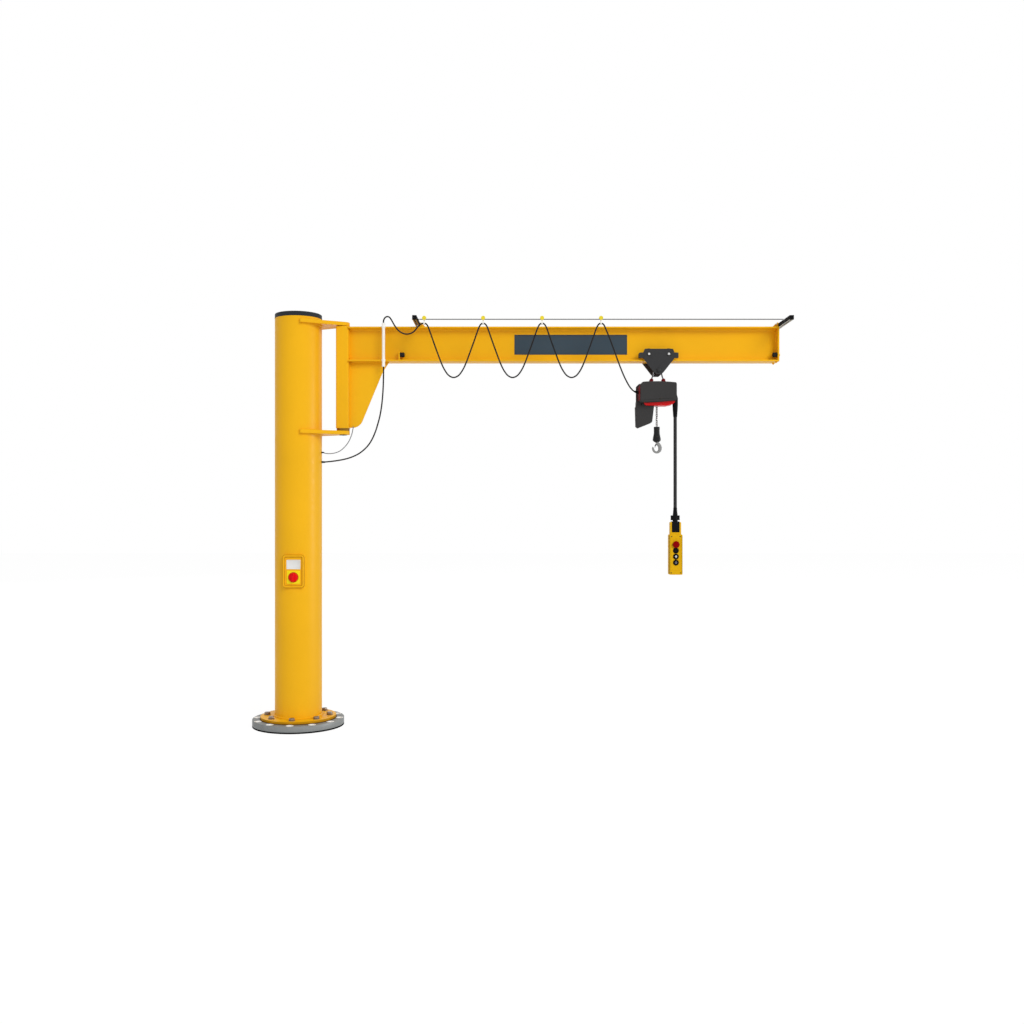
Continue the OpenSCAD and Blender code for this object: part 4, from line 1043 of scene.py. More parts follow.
@dataclass
class Column(Part):
    """Column tube with its cap, cable glands and the two pivot brackets."""

    radius: float = 0.16195
    pivot_x: float = 0.3125
    upper_z: float = 2.786
    lower_z: float = 2.028
    bracket_t: float = 0.025
    ear_angle: float = 70.5
    gland_heights: tuple[float, ...] = (1.837, 1.904)
    bearing_z: float = 2.053

    def build(self) -> None:
        """Dresses the column."""
        self.shop.coat(YELLOW, "column_tube")
        self.shop.coat(CAP_BLACK, "column_cap")
        for node in ("upper_bracket", "lower_bracket"):
            self.shop.eased(node, YELLOW, 0.0014)
        self.cap_lip()
        self.bracket_welds()
        self.glands()
        self.pivots()

    def cap_lip(self) -> None:
        """Adds the moulded lip on top of the cap, and a ring round the cap's foot."""
        r = self.radius
        lip = Bench.turned("column_cap_lip", [
            (r - 0.028, 2.8661), (r - 0.0255, 2.8672), (r - 0.0105, 2.8672),
            (r - 0.008, 2.8661)], (0, 0, 0), steps=96)
        foot = Bench.turned("cap_foot", [
            (r - 0.004, 2.8342), (r + 0.0012, 2.8345), (r + 0.0014, 2.8375), (r - 0.004, 2.839)],
            (0, 0, 0), steps=96)
        self.shop.dress(Bench.joined(lip, foot), CAP_BLACK, "column")

    def bracket_welds(self) -> None:
        """Runs weld beads above and below each bracket plate, round the column."""
        beads = []
        for level in (self.upper_z, self.lower_z):
            for z in (level - 0.002, level + self.bracket_t + 0.002):
                path = arc(self.radius + 0.002, -self.ear_angle, self.ear_angle, 70, (0, 0, z))
                beads.append(Bench.tube("bracket_welds", path, 0.0045, ripple=0.16, fineness=2))
        self.shop.dress(Bench.joined(*beads), YELLOW, "column")

    def glands(self) -> None:
        """Fits a slim tapered rubber sleeve where each cable leaves the column."""
        x = self.radius - 0.002
        sleeves = [Bench.turned("cable_sleeves", [
            (bore, -0.003), (bore + 0.0032, -0.003), (bore + 0.0032, 0.0028),
            (bore + 0.0024, 0.0034), (bore + 0.002, 0.006), (bore + 0.0006, long),
            (bore, long), (bore, -0.003)], (x, 0, z), (1, 0, 0), 32)
            for z, bore, long in zip(self.gland_heights, (0.0051, 0.0031), (0.026, 0.02))]
        self.shop.dress(Bench.joined(*sleeves), BLACK_PLASTIC, "column")

    def pivots(self) -> None:
        """Models the lower bearing, and the slotted cover discs on the pivot pins."""
        # The bearing's brown is painted shade.
        bearing = Bench.turned("lower_bearing_rings", [
            (0.021, 0.0), (0.0445, 0.0), (0.045, 0.001), (0.045, 0.0075), (0.0435, 0.0083),
            (0.0435, 0.0098), (0.045, 0.0105), (0.045, 0.017), (0.0445, 0.018), (0.021, 0.018),
            (0.021, 0.0)], (self.pivot_x, 0, self.bearing_z), steps=64)
        self.shop.dress(bearing, BEARING_SHADE, "column", "lower_bearing")
        self.shop.coat(DARK_STEEL, "pivot_pins")
        profile = [(0.0, 0.0), (0.0262, 0.0), (0.0262, 0.003), (0.0252, 0.0038),
                   (0.0095, 0.0038), (0.009, 0.0028), (0.0, 0.0028)]
        top_z = self.upper_z + self.bracket_t
        discs = [Bench.turned("pivot_discs", profile, (self.pivot_x, 0, top_z), steps=44),
                 Bench.turned("foot", profile, (self.pivot_x, 0, self.lower_z), (0, 0, -1), 44)]
        for z, way in ((top_z + 0.0036, 1), (self.lower_z - 0.0036, -1)):
            screw = Bench.turned("screw", [(0.0015, -0.001), (0.0015, 0.0004), (0.003, 0.0012),
                                           (0.0038, 0.0), (0.0038, -0.001)],
                                 (self.pivot_x + 0.0175, 0, z), (0, 0, way), 20)
            discs.append(Bench.ringed(screw, 4, (self.pivot_x, 0, 0)))
        self.shop.dress(Bench.joined(*discs), DARK_STEEL, "column")


@dataclass
class MainSwitch(Part):
    """Switch box on the column, with its label, square plate and rotary knob."""

    centre_z: float = 1.082
    half_w: float = 0.075
    half_h: float = 0.113
    rim_bar: float = 0.0052
    corner: float = 0.0195
    knob_z: float = 1.041
    label_z: float = 1.1285
    label_w: float = 0.095
    label_h: float = 0.064
    floor_y: float = -0.16795
    face_y: float = -0.17395
    knob_r: float = 0.032

    def build(self) -> None:
        """Dresses the switch."""
        self.frame()
        self.shop.eased("switch_plate", SWITCH_YELLOW, 0.0008)
        self.rim_bead()
        self.label()
        self.knob()

    def rounded(self, inset: float, radius: float, level: float) -> list[Point]:
        """Outline of the frame with rounded corners, drawn in by some way."""
        x, z = self.half_w - inset - radius, self.half_h - inset - radius
        return [point for i, (sx, sz) in enumerate(((1, 1), (-1, 1), (-1, -1), (1, -1)))
                for point in arc(radius, 90 * i, 90 * i + 90, 8,
                                 (sx * x, level, self.centre_z + sz * z), "xz")]

    def frame(self) -> None:
        """Models the frame with its rounded corners, stepped border and recess."""
        outline = [(x, z) for x, _, z in self.rounded(0.0, self.corner, 0.0)]
        frame = Bench.plate("switch_frame_shell", outline, self.face_y + 0.0012, 0.031)
        Bench.stepped(frame, (0.0012, 0.0012), (0.0162, 0.0), (0.001, -0.001), (0.0002, -0.005))
        self.shop.dress(Bench.ease(frame, 0.0), YELLOW, "column", "switch_frame")

    def rim_bead(self) -> None:
        """Lays the rounded bead on the border, between two thin dark lines of painted shade."""
        bead = Bench.tube("switch_bead", self.rounded(0.0085, 0.0135, self.face_y + 0.0014),
                          self.rim_bar, closed=True, fineness=4)
        self.shop.dress(bead, YELLOW, "column")
        # Painted shade: thin darker yellow lines round the frame's outside and round the recess.
        shade_lines = [Bench.tube("switch_shade_lines", self.rounded(inset, radius, level), 0.0016,
                            closed=True, fineness=2)
                 for inset, radius, level in ((0.0008, 0.0195, self.face_y + 0.0006),
                                              (0.0158, 0.0065, self.face_y + 0.0002))]
        self.shop.dress(Bench.joined(*shade_lines), YELLOW_SHADE, "column")

    def label(self) -> None:
        """Fixes the bare label above the knob, in its thin frame."""
        w, h, z = self.label_w / 2, self.label_h / 2, self.label_z
        label = Bench.block("switch_label", (-w, self.floor_y - 0.0012, z - h),
                            (w, self.floor_y + 0.0002, z + h), 0.0005)
        self.shop.dress(Bench.stepped(label, (0.003, -0.0003)), LABEL_WHITE, "column")

    def knob(self) -> None:
        """Turns the knob's disc and models its grip with the pointer line."""
        back = self.floor_y - 0.004
        disc = Bench.turned("switch_knob_disc", [
            (0.0, 0.0), (self.knob_r - 0.001, 0.0), (self.knob_r, 0.001),
            (self.knob_r, 0.006), (self.knob_r - 0.002, 0.0085), (self.knob_r - 0.0045, 0.0145),
            (self.knob_r - 0.007, 0.017), (0.0, 0.017)], (0, back, self.knob_z), (0, -1, 0), 64)
        grip = Bench.block("switch_knob_grip", (-0.009, back - 0.033, self.knob_z - 0.028),
                           (0.009, back - 0.0165, self.knob_z + 0.028), 0.0)
        with Bench.editing(grip, faces=Bench.faces_front):
            bpy.ops.transform.resize(value=(0.72, 1, 0.94))
        grip = Bench.ease(grip, 0.0028, 3)
        ring = Bench.turned("switch_ring", [
            (self.knob_r + 0.0008, 0.0012), (self.knob_r + 0.003, 0.0008),
            (self.knob_r + 0.003, 0.0), (self.knob_r + 0.0008, 0.0),
            (self.knob_r + 0.0008, 0.0012)], (0, self.floor_y - 0.003, self.knob_z), (0, -1, 0), 64)
        pointer = Bench.block("switch_pointer", (-0.001, back - 0.0334, self.knob_z + 0.012),
                              (0.001, back - 0.0325, self.knob_z + 0.024), 0.0003)
        self.shop.dress(Bench.joined(disc, grip), RED_PLASTIC, "switch_handle", "switch_knob")
        self.shop.dress(ring, RED_DEEP, "column")
        self.shop.dress(pointer, RED_DEEP, "switch_handle")


# ---------------------------------------------------------------- jib


@dataclass
class Jib(Part):
    """Post, beam, gusset, end plate, stops, buffers and the bare sign."""

    start_x: float = 0.357
    end_x: float = 3.34
    beam_z: float = 2.535
    depth: float = 0.24
    half_flange: float = 0.06
    web_half: float = 0.0031
    buffer_y: float = 0.035
    buffer_z: float = 2.5818
    buffer_r: float = 0.017
    buffer_l: float = 0.032
    stop_x: float = 0.706
    stop_t: float = 0.008
    end_t: float = 0.01
    sign_x: Flat = (1.511, 2.299)
    sign_z: Flat = (2.588, 2.727)

    def build(self) -> None:
        """Dresses the jib."""
        for node in ("jib_post", "jib_beam", "gusset_plate", "end_plate", "stop_plates"):
            self.shop.eased(node, YELLOW, 0.0012)
        self.welds()
        self.sign()
        self.buffers()
        self.end_bolts()

    def welds(self) -> None:
        """Runs the beads that join the beam, the gusset, the stops and the end plate."""
        top, y = self.beam_z + self.depth, self.half_flange
        x = self.start_x + 0.002
        beads = [[(x, -y + 0.004, top - 0.001), (x, y - 0.004, top - 0.001)],
                 [(x, -self.web_half - 0.002, self.beam_z + 0.03),
                  (x, -self.web_half - 0.002, top - 0.03)],
                 [(x, self.web_half + 0.002, self.beam_z + 0.03),
                  (x, self.web_half + 0.002, top - 0.03)]]
        for s in (-1, 1):
            beads.append([(x, s * 0.0075, 2.09), (x, s * 0.0075, self.beam_z - 0.005)])
            beads.append([(self.start_x + 0.02, s * 0.0075, self.beam_z - 0.0015),
                          (self.start_x + 0.262, s * 0.0075, self.beam_z - 0.0015)])
            beads.append([(self.stop_x + self.stop_t + 0.001, s * 0.02, self.beam_z + 0.0115),
                          (self.stop_x + self.stop_t + 0.001, s * 0.056, self.beam_z + 0.0115)])
            beads.append([(self.end_x - 0.001, s * (self.web_half + 0.002), self.beam_z + 0.03),
                          (self.end_x - 0.001, s * (self.web_half + 0.002), top - 0.03)])
        made = []
        for a, b in beads:
            steps = max(4, round((Vector(b) - Vector(a)).length / 0.006))
            path = [tuple(Vector(a).lerp(Vector(b), i / steps)) for i in range(steps + 1)]
            made.append(Bench.tube("jib_welds", path, 0.0035, ripple=0.18, fineness=2))
        self.shop.dress(Bench.joined(*made), YELLOW, "jib")

    def sign(self) -> None:
        """Fixes the bare slate sign to the front of the web."""
        (x0, x1), (z0, z1) = self.sign_x, self.sign_z
        y = -self.web_half
        sign = Bench.block("web_sign", (x0, y - 0.0022, z0), (x1, y + 0.0002, z1), 0.0007)
        self.shop.dress(Bench.ease(Bench.stepped(sign, (0.005, -0.0004)), 0.0), SLATE, "jib")

    def buffers(self) -> None:
        """Turns the rubber buffers, and bolts them to the stops and to the end plate."""
        r, long = self.buffer_r, self.buffer_l
        profile = [(0.0, 0.0), (r - 0.001, 0.0), (r, 0.0015), (r, 0.009), (r - 0.0016, 0.0115),
                   (r - 0.0016, 0.0135), (r, 0.016), (r, long - 0.006), (r - 0.002, long - 0.002),
                   (r - 0.006, long), (0.0, long)]
        feet = [(self.stop_x + self.stop_t, 1), (self.end_x, -1)]
        rubber = [Bench.mirrored(Bench.turned("buffer_rubbers", profile,
                                              (x, self.buffer_y, self.buffer_z), (way, 0, 0), 40))
                  for x, way in feet]
        self.shop.dress(Bench.joined(*rubber), BUFFER_BLACK, "jib", "buffers")
        backs = [(self.stop_x, -1), (self.end_x + self.end_t, 1)]
        nuts = []
        for x, way in backs:
            washer = Bench.turned("buffer_nuts", [(0.0, 0.0), (0.0105, 0.0), (0.0105, 0.0012),
                                                  (0.0098, 0.0018), (0.0, 0.0018)],
                                  (x, self.buffer_y, self.buffer_z), (way, 0, 0), 28)
            nut = Bench.hexagon("nut", (x + way * 0.0018, self.buffer_y, self.buffer_z),
                                (way, 0, 0), 0.016, 0.0062)
            nuts.append(Bench.mirrored(Bench.joined(washer, nut)))
        self.shop.dress(Bench.joined(*nuts), YELLOW, "jib")

    def end_bolts(self) -> None:
        """Bolts the end plate's foot through the lower flange."""
        x, y, z = self.end_x - 0.007, 0.042, self.beam_z
        nut = Bench.hexagon("end_foot_bolts", (x, y, z), (0, 0, -1), 0.013, 0.0065)
        stud = Bench.turned("stud", [(0.0, 0.0), (0.004, 0.0), (0.004, 0.0095), (0.0032, 0.011),
                                     (0.0, 0.011)], (x, y, z), (0, 0, -1), 20)
        self.shop.dress(Bench.mirrored(Bench.joined(nut, stud)), YELLOW, "jib")


# ---------------------------------------------------------------- festoon


@dataclass
class Festoon(Part):
    """Arms, tension wire, conduit and the four cable gliders."""

    rail_z: float = 2.789
    rail: float = 0.028
    arms: tuple[tuple[str, float, int], ...] = (("left_arm", 0.841, 1), ("right_arm", 3.364, -1))
    wire_y: float = WIRE_Y
    wire_z: float = 2.795
    wire_r: float = 0.0029
    glider_x: float = GLIDER_X
    pitch: float = GLIDER_PITCH
    roller_z: float = 2.804
    roller_r: float = 0.014
    groove_r: float = 0.006
    clip_z: float = CLIP_Z
    conduit: Point = (0.604, -0.075, 2.495)
    conduit_r: float = 0.0105
    conduit_l: float = 0.299

    def build(self) -> None:
        """Dresses the festoon."""
        for node, x, side in self.arms:
            arm = self.shop.eased(node, RAIL_BLACK, 0.0008)
            self.shop.repaint(arm, YELLOW, lambda c, x=x, s=side:
                              s * (c.x - x) > self.rail / 2 + 0.00005)
            self.shop.repaint(arm, RAIL_INSIDE, lambda c, x=x:
                              abs(c.x - x) < self.rail / 2 - 0.002 and c.z < self.rail_z + 0.0117
                              and c.y > -0.3185)
            # Painted reflection: the left arm's underside takes the yellow jib's yellow-brown.
            if side > 0:
                self.shop.repaint(arm, RAIL_UNDER_REFLECTION, lambda c, x=x: c.y < -0.06 and
                                  c.z < self.rail_z - self.rail / 2 + 0.0005)
            self.arm_fittings(node, x, side)
        self.wire()
        self.gliders()
        self.shop.coat(WHITE_PLASTIC, "conduit_tube")
        self.bushings()

    def arm_fittings(self, node: str, x: float, side: int) -> None:
        """Adds the end cap and the bolts of one arm.

        Args:
            node: the arm's node.
            x: its centre line.
            side: which way its foot bracket points.
        """
        half = self.rail / 2 + 0.0008
        cap = Bench.block(node + "_end_cap", (x - half, -0.3245, self.rail_z - half),
                          (x + half, -0.3165, self.rail_z + half), 0.0016, 3)
        self.shop.dress(cap, BLACK_PLASTIC, "jib")
        bolt = Bench.hexagon(node + "_bolts", (x + side * 0.0202, 0.02, 2.8), (side, 0, 0),
                             0.013, 0.0055)
        bolts = Bench.copied(bolt, shifts((0, -0.04, 0)))
        self.shop.dress(bolts, ZINC, "jib")

    def wire(self) -> None:
        """Stretches the wire between the arms, with its nuts and end fittings."""
        left, right = self.arms[0][1], self.arms[1][1]
        reach = self.rail / 2
        y, z = self.wire_y, self.wire_z
        steps = 60
        line = [(left + 0.03 + (right - left - 0.06) * i / steps, y, z) for i in range(steps + 1)]
        wire = Bench.tube("tension_wire_rope", line, self.wire_r)
        self.shop.dress(wire, WIRE_STEEL, "jib", "tension_wire")
        made = []
        for x, way in ((left, -1), (right, 1)):
            made.append(Bench.tube("wire_fittings", [
                (x + way * (reach + 0.013), y, z), (x + way * (reach + 0.012), y, z),
                (x - way * 0.034, y, z), (x - way * 0.035, y, z)], 0.0028, radii=[
                    0.0022, 0.0028, 0.0028, 0.0022], fineness=4))
            made.append(Bench.hexagon("outer_nut", (x + way * (reach + 0.0002), y, z),
                                      (way, 0, 0), 0.011, 0.0052))
            made.append(Bench.turned("swage", [
                (0.0, 0.0), (0.0036, 0.0), (0.0042, 0.001), (0.0042, 0.013), (0.0034, 0.0165),
                (0.0, 0.0168)], (x - way * 0.0145, y, z), (-way, 0, 0), 24))
        self.shop.dress(Bench.joined(*made), ZINC, "jib")

    def gliders(self) -> None:
        """Models the first glider and copies it along the wire."""
        for i, body in enumerate("abcd"):
            x = self.glider_x + i * self.pitch
            roller = Bench.turned(f"glider_{i + 1}_roller", [
                (0.0, -0.006), (self.roller_r - 0.001, -0.006), (self.roller_r, -0.005),
                (self.roller_r, -0.0042), (0.0068, -0.0031), (self.groove_r, -0.0024),
                (self.groove_r, 0.0024), (0.0068, 0.0031), (self.roller_r, 0.0042),
                (self.roller_r, 0.005),
                (self.roller_r - 0.001, 0.006), (0.009, 0.006), (0.0082, 0.005),
                (0.005, 0.005), (0.005, 0.0062), (0.0, 0.0062)],
                (x, self.wire_y, self.roller_z), (0, -1, 0), 40)
            self.shop.dress(roller, LEMON, f"glider_{body}", f"glider_{i + 1}")
            self.hanger(i, x, f"glider_{body}")

    def hanger(self, index: int, x: float, body: str) -> None:
        """Models the stem, the axle head, the clip ring and the clamp screw of one glider.

        Args:
            index: number of the glider, from nought.
            x: where it stands on the wire.
            body: the body that it moves with.
        """
        y = self.wire_y + 0.0062
        top, low = self.roller_z, self.clip_z
        stem = Bench.plate(f"glider_{index + 1}_hanger", [
            (x - 0.0032, low + 0.005), (x + 0.0032, low + 0.005), (x + 0.0032, top - 0.002),
            (x + 0.005, top), (x + 0.0046, top + 0.0035), (x + 0.002, top + 0.0055),
            (x - 0.002, top + 0.0055), (x - 0.0046, top + 0.0035), (x - 0.005, top),
            (x - 0.0032, top - 0.002)], y, 0.0023, 0.0004)
        head = Bench.turned("axle_head", [(0.0, 0.0), (0.0042, 0.0), (0.0042, 0.001),
                                          (0.0028, 0.0024), (0.0, 0.0028)],
                            (x, y + 0.0023, top), (0, 1, 0), 24)
        ring = Bench.turned("clip_ring", [
            (0.0056, -0.005), (0.0088, -0.005), (0.0092, -0.0045), (0.0092, 0.0045),
            (0.0088, 0.005), (0.0056, 0.005), (0.0056, -0.005)],
            (x, self.wire_y, low), (1, 0, 0), 36, 0.0003)
        shoulder = Bench.block("shoulder", (x - 0.0036, self.wire_y + 0.001, low + 0.0072),
                               (x + 0.0036, y + 0.0023, low + 0.0135), 0.0008)
        screw = Bench.turned("clamp_screw", [(0.0, 0.0), (0.0026, 0.0), (0.0026, 0.0012),
                                             (0.0016, 0.002), (0.0, 0.002)],
                             (x, self.wire_y - 0.0007, low - 0.0088), (0, 0, -1), 20)
        self.shop.dress(Bench.joined(stem, head, ring, shoulder, screw), WHITE_PLASTIC, body)

    def bushings(self) -> None:
        """Caps both ends of the conduit with a bushing."""
        x, y, z = self.conduit
        r = self.conduit_r
        profile = [(0.0062, -0.001), (r + 0.0004, -0.001), (r + 0.0009, 0.0), (r + 0.0009, 0.011),
                   (r + 0.0003, 0.013), (0.0086, 0.013), (0.0062, -0.001)]
        ends = [Bench.turned("conduit_bushings", profile, (x, y, z - 0.0005), (0, 0, 1), 36),
                Bench.turned("upper", profile, (x, y, z + self.conduit_l + 0.0005),
                             (0, 0, -1), 36)]
        self.shop.dress(Bench.joined(*ends), WHITE_PLASTIC, "jib")


# ---------------------------------------------------------------- trolley and hoist


@dataclass
class Trolley(Part):
    """Side plates, wheels, axles and the cross bolt."""

    centre_x: float = 2.511
    axle_z: float = 2.5818
    axle_half: float = 0.0685
    plate_y: float = 0.079
    tread_r: float = 0.0367
    flange_r: float = 0.0402
    cross_z: float = 2.4698

    def build(self) -> None:
        """Dresses the trolley."""
        self.shop.eased("trolley_plates", DARK_COAT, 0.0012)
        self.shop.coat(DARK_STEEL, "trolley_axles")
        self.wheels("left_wheel_pair", "left_wheels", self.centre_x - self.axle_half)
        self.wheels("right_wheel_pair", "right_wheels", self.centre_x + self.axle_half)
        self.axle_ends()

    def wheels(self, body: str, node: str, x: float) -> None:
        """Turns one wheel with its web and bearing seat, and mirrors it to the other side.

        Args:
            body: the body that the pair turns with.
            node: the CAD node that it stands for.
            x: the axle's place along the beam.
        """
        t, f = self.tread_r, self.flange_r
        wheel = Bench.turned(node + "_turned", [
            (0.0082, 0.04), (0.014, 0.04), (0.0148, 0.041), (0.0148, 0.0445), (0.027, 0.0462),
            (0.031, 0.0415), (0.0325, 0.04), (t - 0.001, 0.04), (t, 0.041), (t, 0.0625),
            (t + 0.001, 0.0632), (f - 0.0012, 0.0645), (f, 0.066), (f, 0.068), (f - 0.001, 0.069),
            (0.0325, 0.069), (0.031, 0.0665), (0.027, 0.0635), (0.0165, 0.0635),
            (0.0165, 0.0685), (0.0082, 0.0685), (0.0082, 0.04)],
            (x, 0, self.axle_z), (0, 1, 0), 72)
        self.shop.dress(Bench.mirrored(wheel), WHEEL_BLACK, body, node)

    def axle_ends(self) -> None:
        """Puts a domed cap on each axle head, and a nut on each end of the cross bolt."""
        y = self.plate_y
        made = []
        for s in (-1, 1):
            made.append(Bench.turned("axle_caps", [
                (0.0, 0.0084), (0.003, 0.0082), (0.0062, 0.0068), (0.0082, 0.0052),
                (0.0088, 0.0034), (0.0088, 0.0)],
                (self.centre_x + s * self.axle_half, y, self.axle_z), (0, 1, 0), 36))
        self.shop.dress(Bench.mirrored(Bench.joined(*made)), AXLE_BRIGHT, "trolley")
        washer = Bench.turned("cross_bolt_nuts", [
            (0.0, 0.0), (0.0162, 0.0), (0.0162, 0.0018), (0.0152, 0.0026), (0.0, 0.0026)],
            (self.centre_x, y, self.cross_z), (0, 1, 0), 40)
        nut = Bench.hexagon("nut", (self.centre_x, y + 0.0024, self.cross_z), (0, 1, 0),
                            0.0262, 0.0068)
        dome = Bench.turned("dome", [(0.0112, 0.008), (0.0104, 0.011), (0.006, 0.0135),
                                     (0.0, 0.0142)],
                            (self.centre_x, y, self.cross_z), (0, 1, 0), 36)
        self.shop.dress(Bench.mirrored(Bench.joined(washer, nut, dome)), DARK_COAT, "trolley")


@dataclass
class Hoist(Part):
    """Chain hoist: casting, covers, suspension rod, chain container and cable entries."""

    centre_x: float = 2.505
    trolley_x: float = 2.511
    body_half: float = 0.048
    lug_z: float = 2.3865
    rear_reach: float = 0.011
    pin_half: float = 0.042
    pin_y: float = 0.0125
    pin_z: float = 2.408
    red_end: float = 2.3815
    feed_foot: float = 2.2475
    feed_top: float = 2.376
    lowered: float = 1.85
    outline: tuple[Flat, ...] = (
        (2.3795, 2.262), (2.381, 2.2515), (2.3875, 2.2465), (2.43, 2.2465), (2.505, 2.2505),
        (2.58, 2.2565), (2.624, 2.2610), (2.6335, 2.2635), (2.6365, 2.2705), (2.6360, 2.374),
        (2.6335, 2.3825), (2.626, 2.3865), (2.58, 2.3905), (2.505, 2.3935), (2.44, 2.3925),
        (2.404, 2.3905), (2.398, 2.3885), (2.3815, 2.372), (2.3797, 2.367))
    screws: tuple[Flat, ...] = ((2.516, 2.2685), (2.516, 2.3825))

    def build(self) -> None:
        """Dresses the hoist."""
        body = self.shop.eased("hoist_body", RED_CAST, 0.0018, 3)
        # Painted shade: the casting's top, from the lugs up, is a darker red.
        self.shop.repaint(body, RED_LUG_SHADE, lambda centre: centre.z > self.lug_z)
        self.shop.repaint(body, RED_SHADE, lambda centre: centre.x < self.red_end)
        self.covers()
        self.shop.coat(BAIL_STEEL, "hoist_bail")
        self.shop.coat(CHAIN_STEEL, "load_chain")
        self.shop.eased("chain_container", COVER_DARK, 0.0045, 3)
        lip = Bench.block("container_lip", (2.388, -0.04, 2.2285), (2.43, 0.04, 2.2478), 0.003)
        self.shop.dress(lip, COVER_DARK, "trolley")
        self.pins()
        self.cable_entry()
        self.spare_chain()
        self.feed_chain()

    def covers(self) -> None:
        """Moulds one cover with drafted sides and a shallow panel, and mirrors it.

        The rear cover reaches further towards the column than the front one.
        """
        y = -self.body_half
        cover = Bench.plate("hoist_cover_shells", self.outline, y - 0.012, 0.012)
        hub = (self.centre_x, 0, 2.3205)
        with Bench.editing(cover, faces=Bench.faces_front):
            for step, scale in ((0.018, 0.992), (0.012, 0.988), (0.0032, 0.981), (0.0012, 0.978)):
                bpy.ops.mesh.extrude_region_move(TRANSFORM_OT_translate={"value": (0, -step, 0)})
                bpy.ops.transform.resize(value=(scale, 1, scale), center_override=hub)
            bpy.ops.mesh.inset(thickness=0.010, depth=0.0)
            bpy.ops.mesh.inset(thickness=0.0015, depth=-0.0008)
        cover = Bench.mirrored(Bench.ease(Bench.merged(cover), 0.0008, 2, 28))
        rear_end = self.centre_x - 0.09
        with Bench.editing(cover, points=lambda point: point.co.y > 0 and point.co.x < rear_end):
            bpy.ops.transform.translate(value=(-self.rear_reach, 0, 0))
        self.shop.dress(cover, COVER_DARK, "trolley", "hoist_covers")
        self.shop.repaint(cover, RED_SHADE, lambda centre: centre.x < 2.3885 and
                          -0.0905 < centre.y < -0.045 and 2.26 < centre.z < 2.3675)
        made = [Bench.turned("cover_screws", [
            (0.0, -0.0012), (0.0028, -0.0012), (0.0032, 0.0008), (0.0052, 0.001),
            (0.0062, 0.0), (0.0062, -0.002)], (x, y - 0.0459, z), (0, -1, 0), 24)
            for x, z in self.screws]
        self.shop.dress(Bench.mirrored(Bench.joined(*made)), DARK_STEEL, "trolley")

    def pins(self) -> None:
        """Adds a head and a washer to each pin of the suspension rod."""
        made = []
        for s in (-1, 1):
            made.append(Bench.turned("bail_pin_heads", [
                (0.0, 0.0), (0.0128, 0.0), (0.0128, 0.0016), (0.0092, 0.002), (0.0092, 0.0048),
                (0.008, 0.006), (0.0, 0.006)],
                (self.trolley_x + s * self.pin_half, self.pin_y, self.pin_z), (0, 1, 0), 28))
        # The pin heads take the lugs' darker red: painted shade.
        self.shop.dress(Bench.mirrored(Bench.joined(*made)), RED_LUG_SHADE, "trolley")

    def cable_entry(self) -> None:
        """Turns the tapered strain relief where the festoon cable enters the hoist."""
        a, b = Vector((2.366, -0.006, 2.325)), Vector((2.346, -0.020, 2.330))
        way = (b - a).normalized()
        entry = Bench.turned("cable_entry", [
            (0.0053, -0.014), (0.0095, -0.014), (0.0095, -0.002), (0.0088, 0.0),
            (0.0084, 0.004), (0.0078, 0.0045), (0.008, 0.008), (0.0073, 0.0085),
            (0.0074, 0.012), (0.0068, 0.0125), (0.0067, 0.016), (0.0061, 0.0185),
            (0.0053, 0.022)], tuple(a + way * 0.002), tuple(way), 36)
        foot = Bench.turned("entry_foot", [
            (0.0, 0.0), (0.0125, 0.0), (0.0125, 0.003), (0.0112, 0.0052), (0.0098, 0.008),
            (0.0, 0.008)], (2.3745, -0.004, 2.3245), (-1, 0, 0), 36)
        self.shop.dress(Bench.joined(entry, foot), BLACK_PLASTIC, "trolley")

    @staticmethod
    def link(name: str, wide: float = 0.017, wire: float = 0.0025, pitch: float = CHAIN_PITCH,
             coarse: bool = False) -> Piece:
        """Bends one chain link round the origin, upright in X and Z.

        Args:
            name: the piece's name.
            wide: outside width.
            wire: radius of the wire.
            pitch: inside length.
            coarse: whether to use few faces, for links that are copied many times.

        Returns:
            The link.
        """
        r = wide / 2 - wire
        half = (pitch + 2 * wire) / 2 - r - wire
        steps = 4 if coarse else 8
        path = (arc(r, 0, 180, steps, (0, 0, half), "xz")
                + arc(r, 180, 360, steps, (0, 0, -half), "xz"))
        return Bench.tube(name, path, wire, closed=True, fineness=1 if coarse else 2)

    def spare_chain(self) -> None:
        """Heaps the slack chain in its container."""
        chance = random.Random(7)
        moves = []
        for _ in range(70):
            spot = Matrix.Translation((chance.uniform(2.379, 2.458), chance.uniform(-0.021, 0.021),
                                       2.132 + 0.024 * chance.random() ** 0.5))
            moves.append(spot @ Matrix.Rotation(chance.uniform(0, 3.1), 4, "Z")
                         @ Matrix.Rotation(chance.uniform(-0.9, 0.9) + 1.5, 4, "Y"))
        link = self.link("spare_chain_heap", coarse=True)
        link.data.transform(moves[0])
        back = moves[0].inverted()
        heap = Bench.copied(link, [move @ back for move in moves[1:]])
        self.shop.dress(heap, CHAIN_STEEL, "trolley", "spare_chain")

    def feed_chain(self) -> None:
        """Stores the chain that pays out, folded up in the hoist's chain passage.

        Each point is set so that the links are true when the hook is right down, and its
        place at rest is found from the smooth blend between the hoist and the bottom block.
        """
        count = int((self.feed_top - self.feed_foot + self.lowered) / CHAIN_PITCH)
        link = self.link("feed_chain", coarse=True)
        link.data.transform(Matrix.Rotation(math.radians(45), 4, "Z"))
        moves = [Matrix.Translation((0, 0, -i * CHAIN_PITCH))
                 @ Matrix.Rotation(math.radians(90 * (i % 2)), 4, "Z") for i in range(1, count)]
        chain = Bench.copied(link, moves)
        chain.data.transform(Matrix.Translation((CHAIN_X, 0, self.feed_top - 0.012)))
        for vertex in chain.data.vertices:
            vertex.co.z = self.folded(vertex.co.z)
        self.shop.dress(chain, CHAIN_STEEL, "")
        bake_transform(chain)

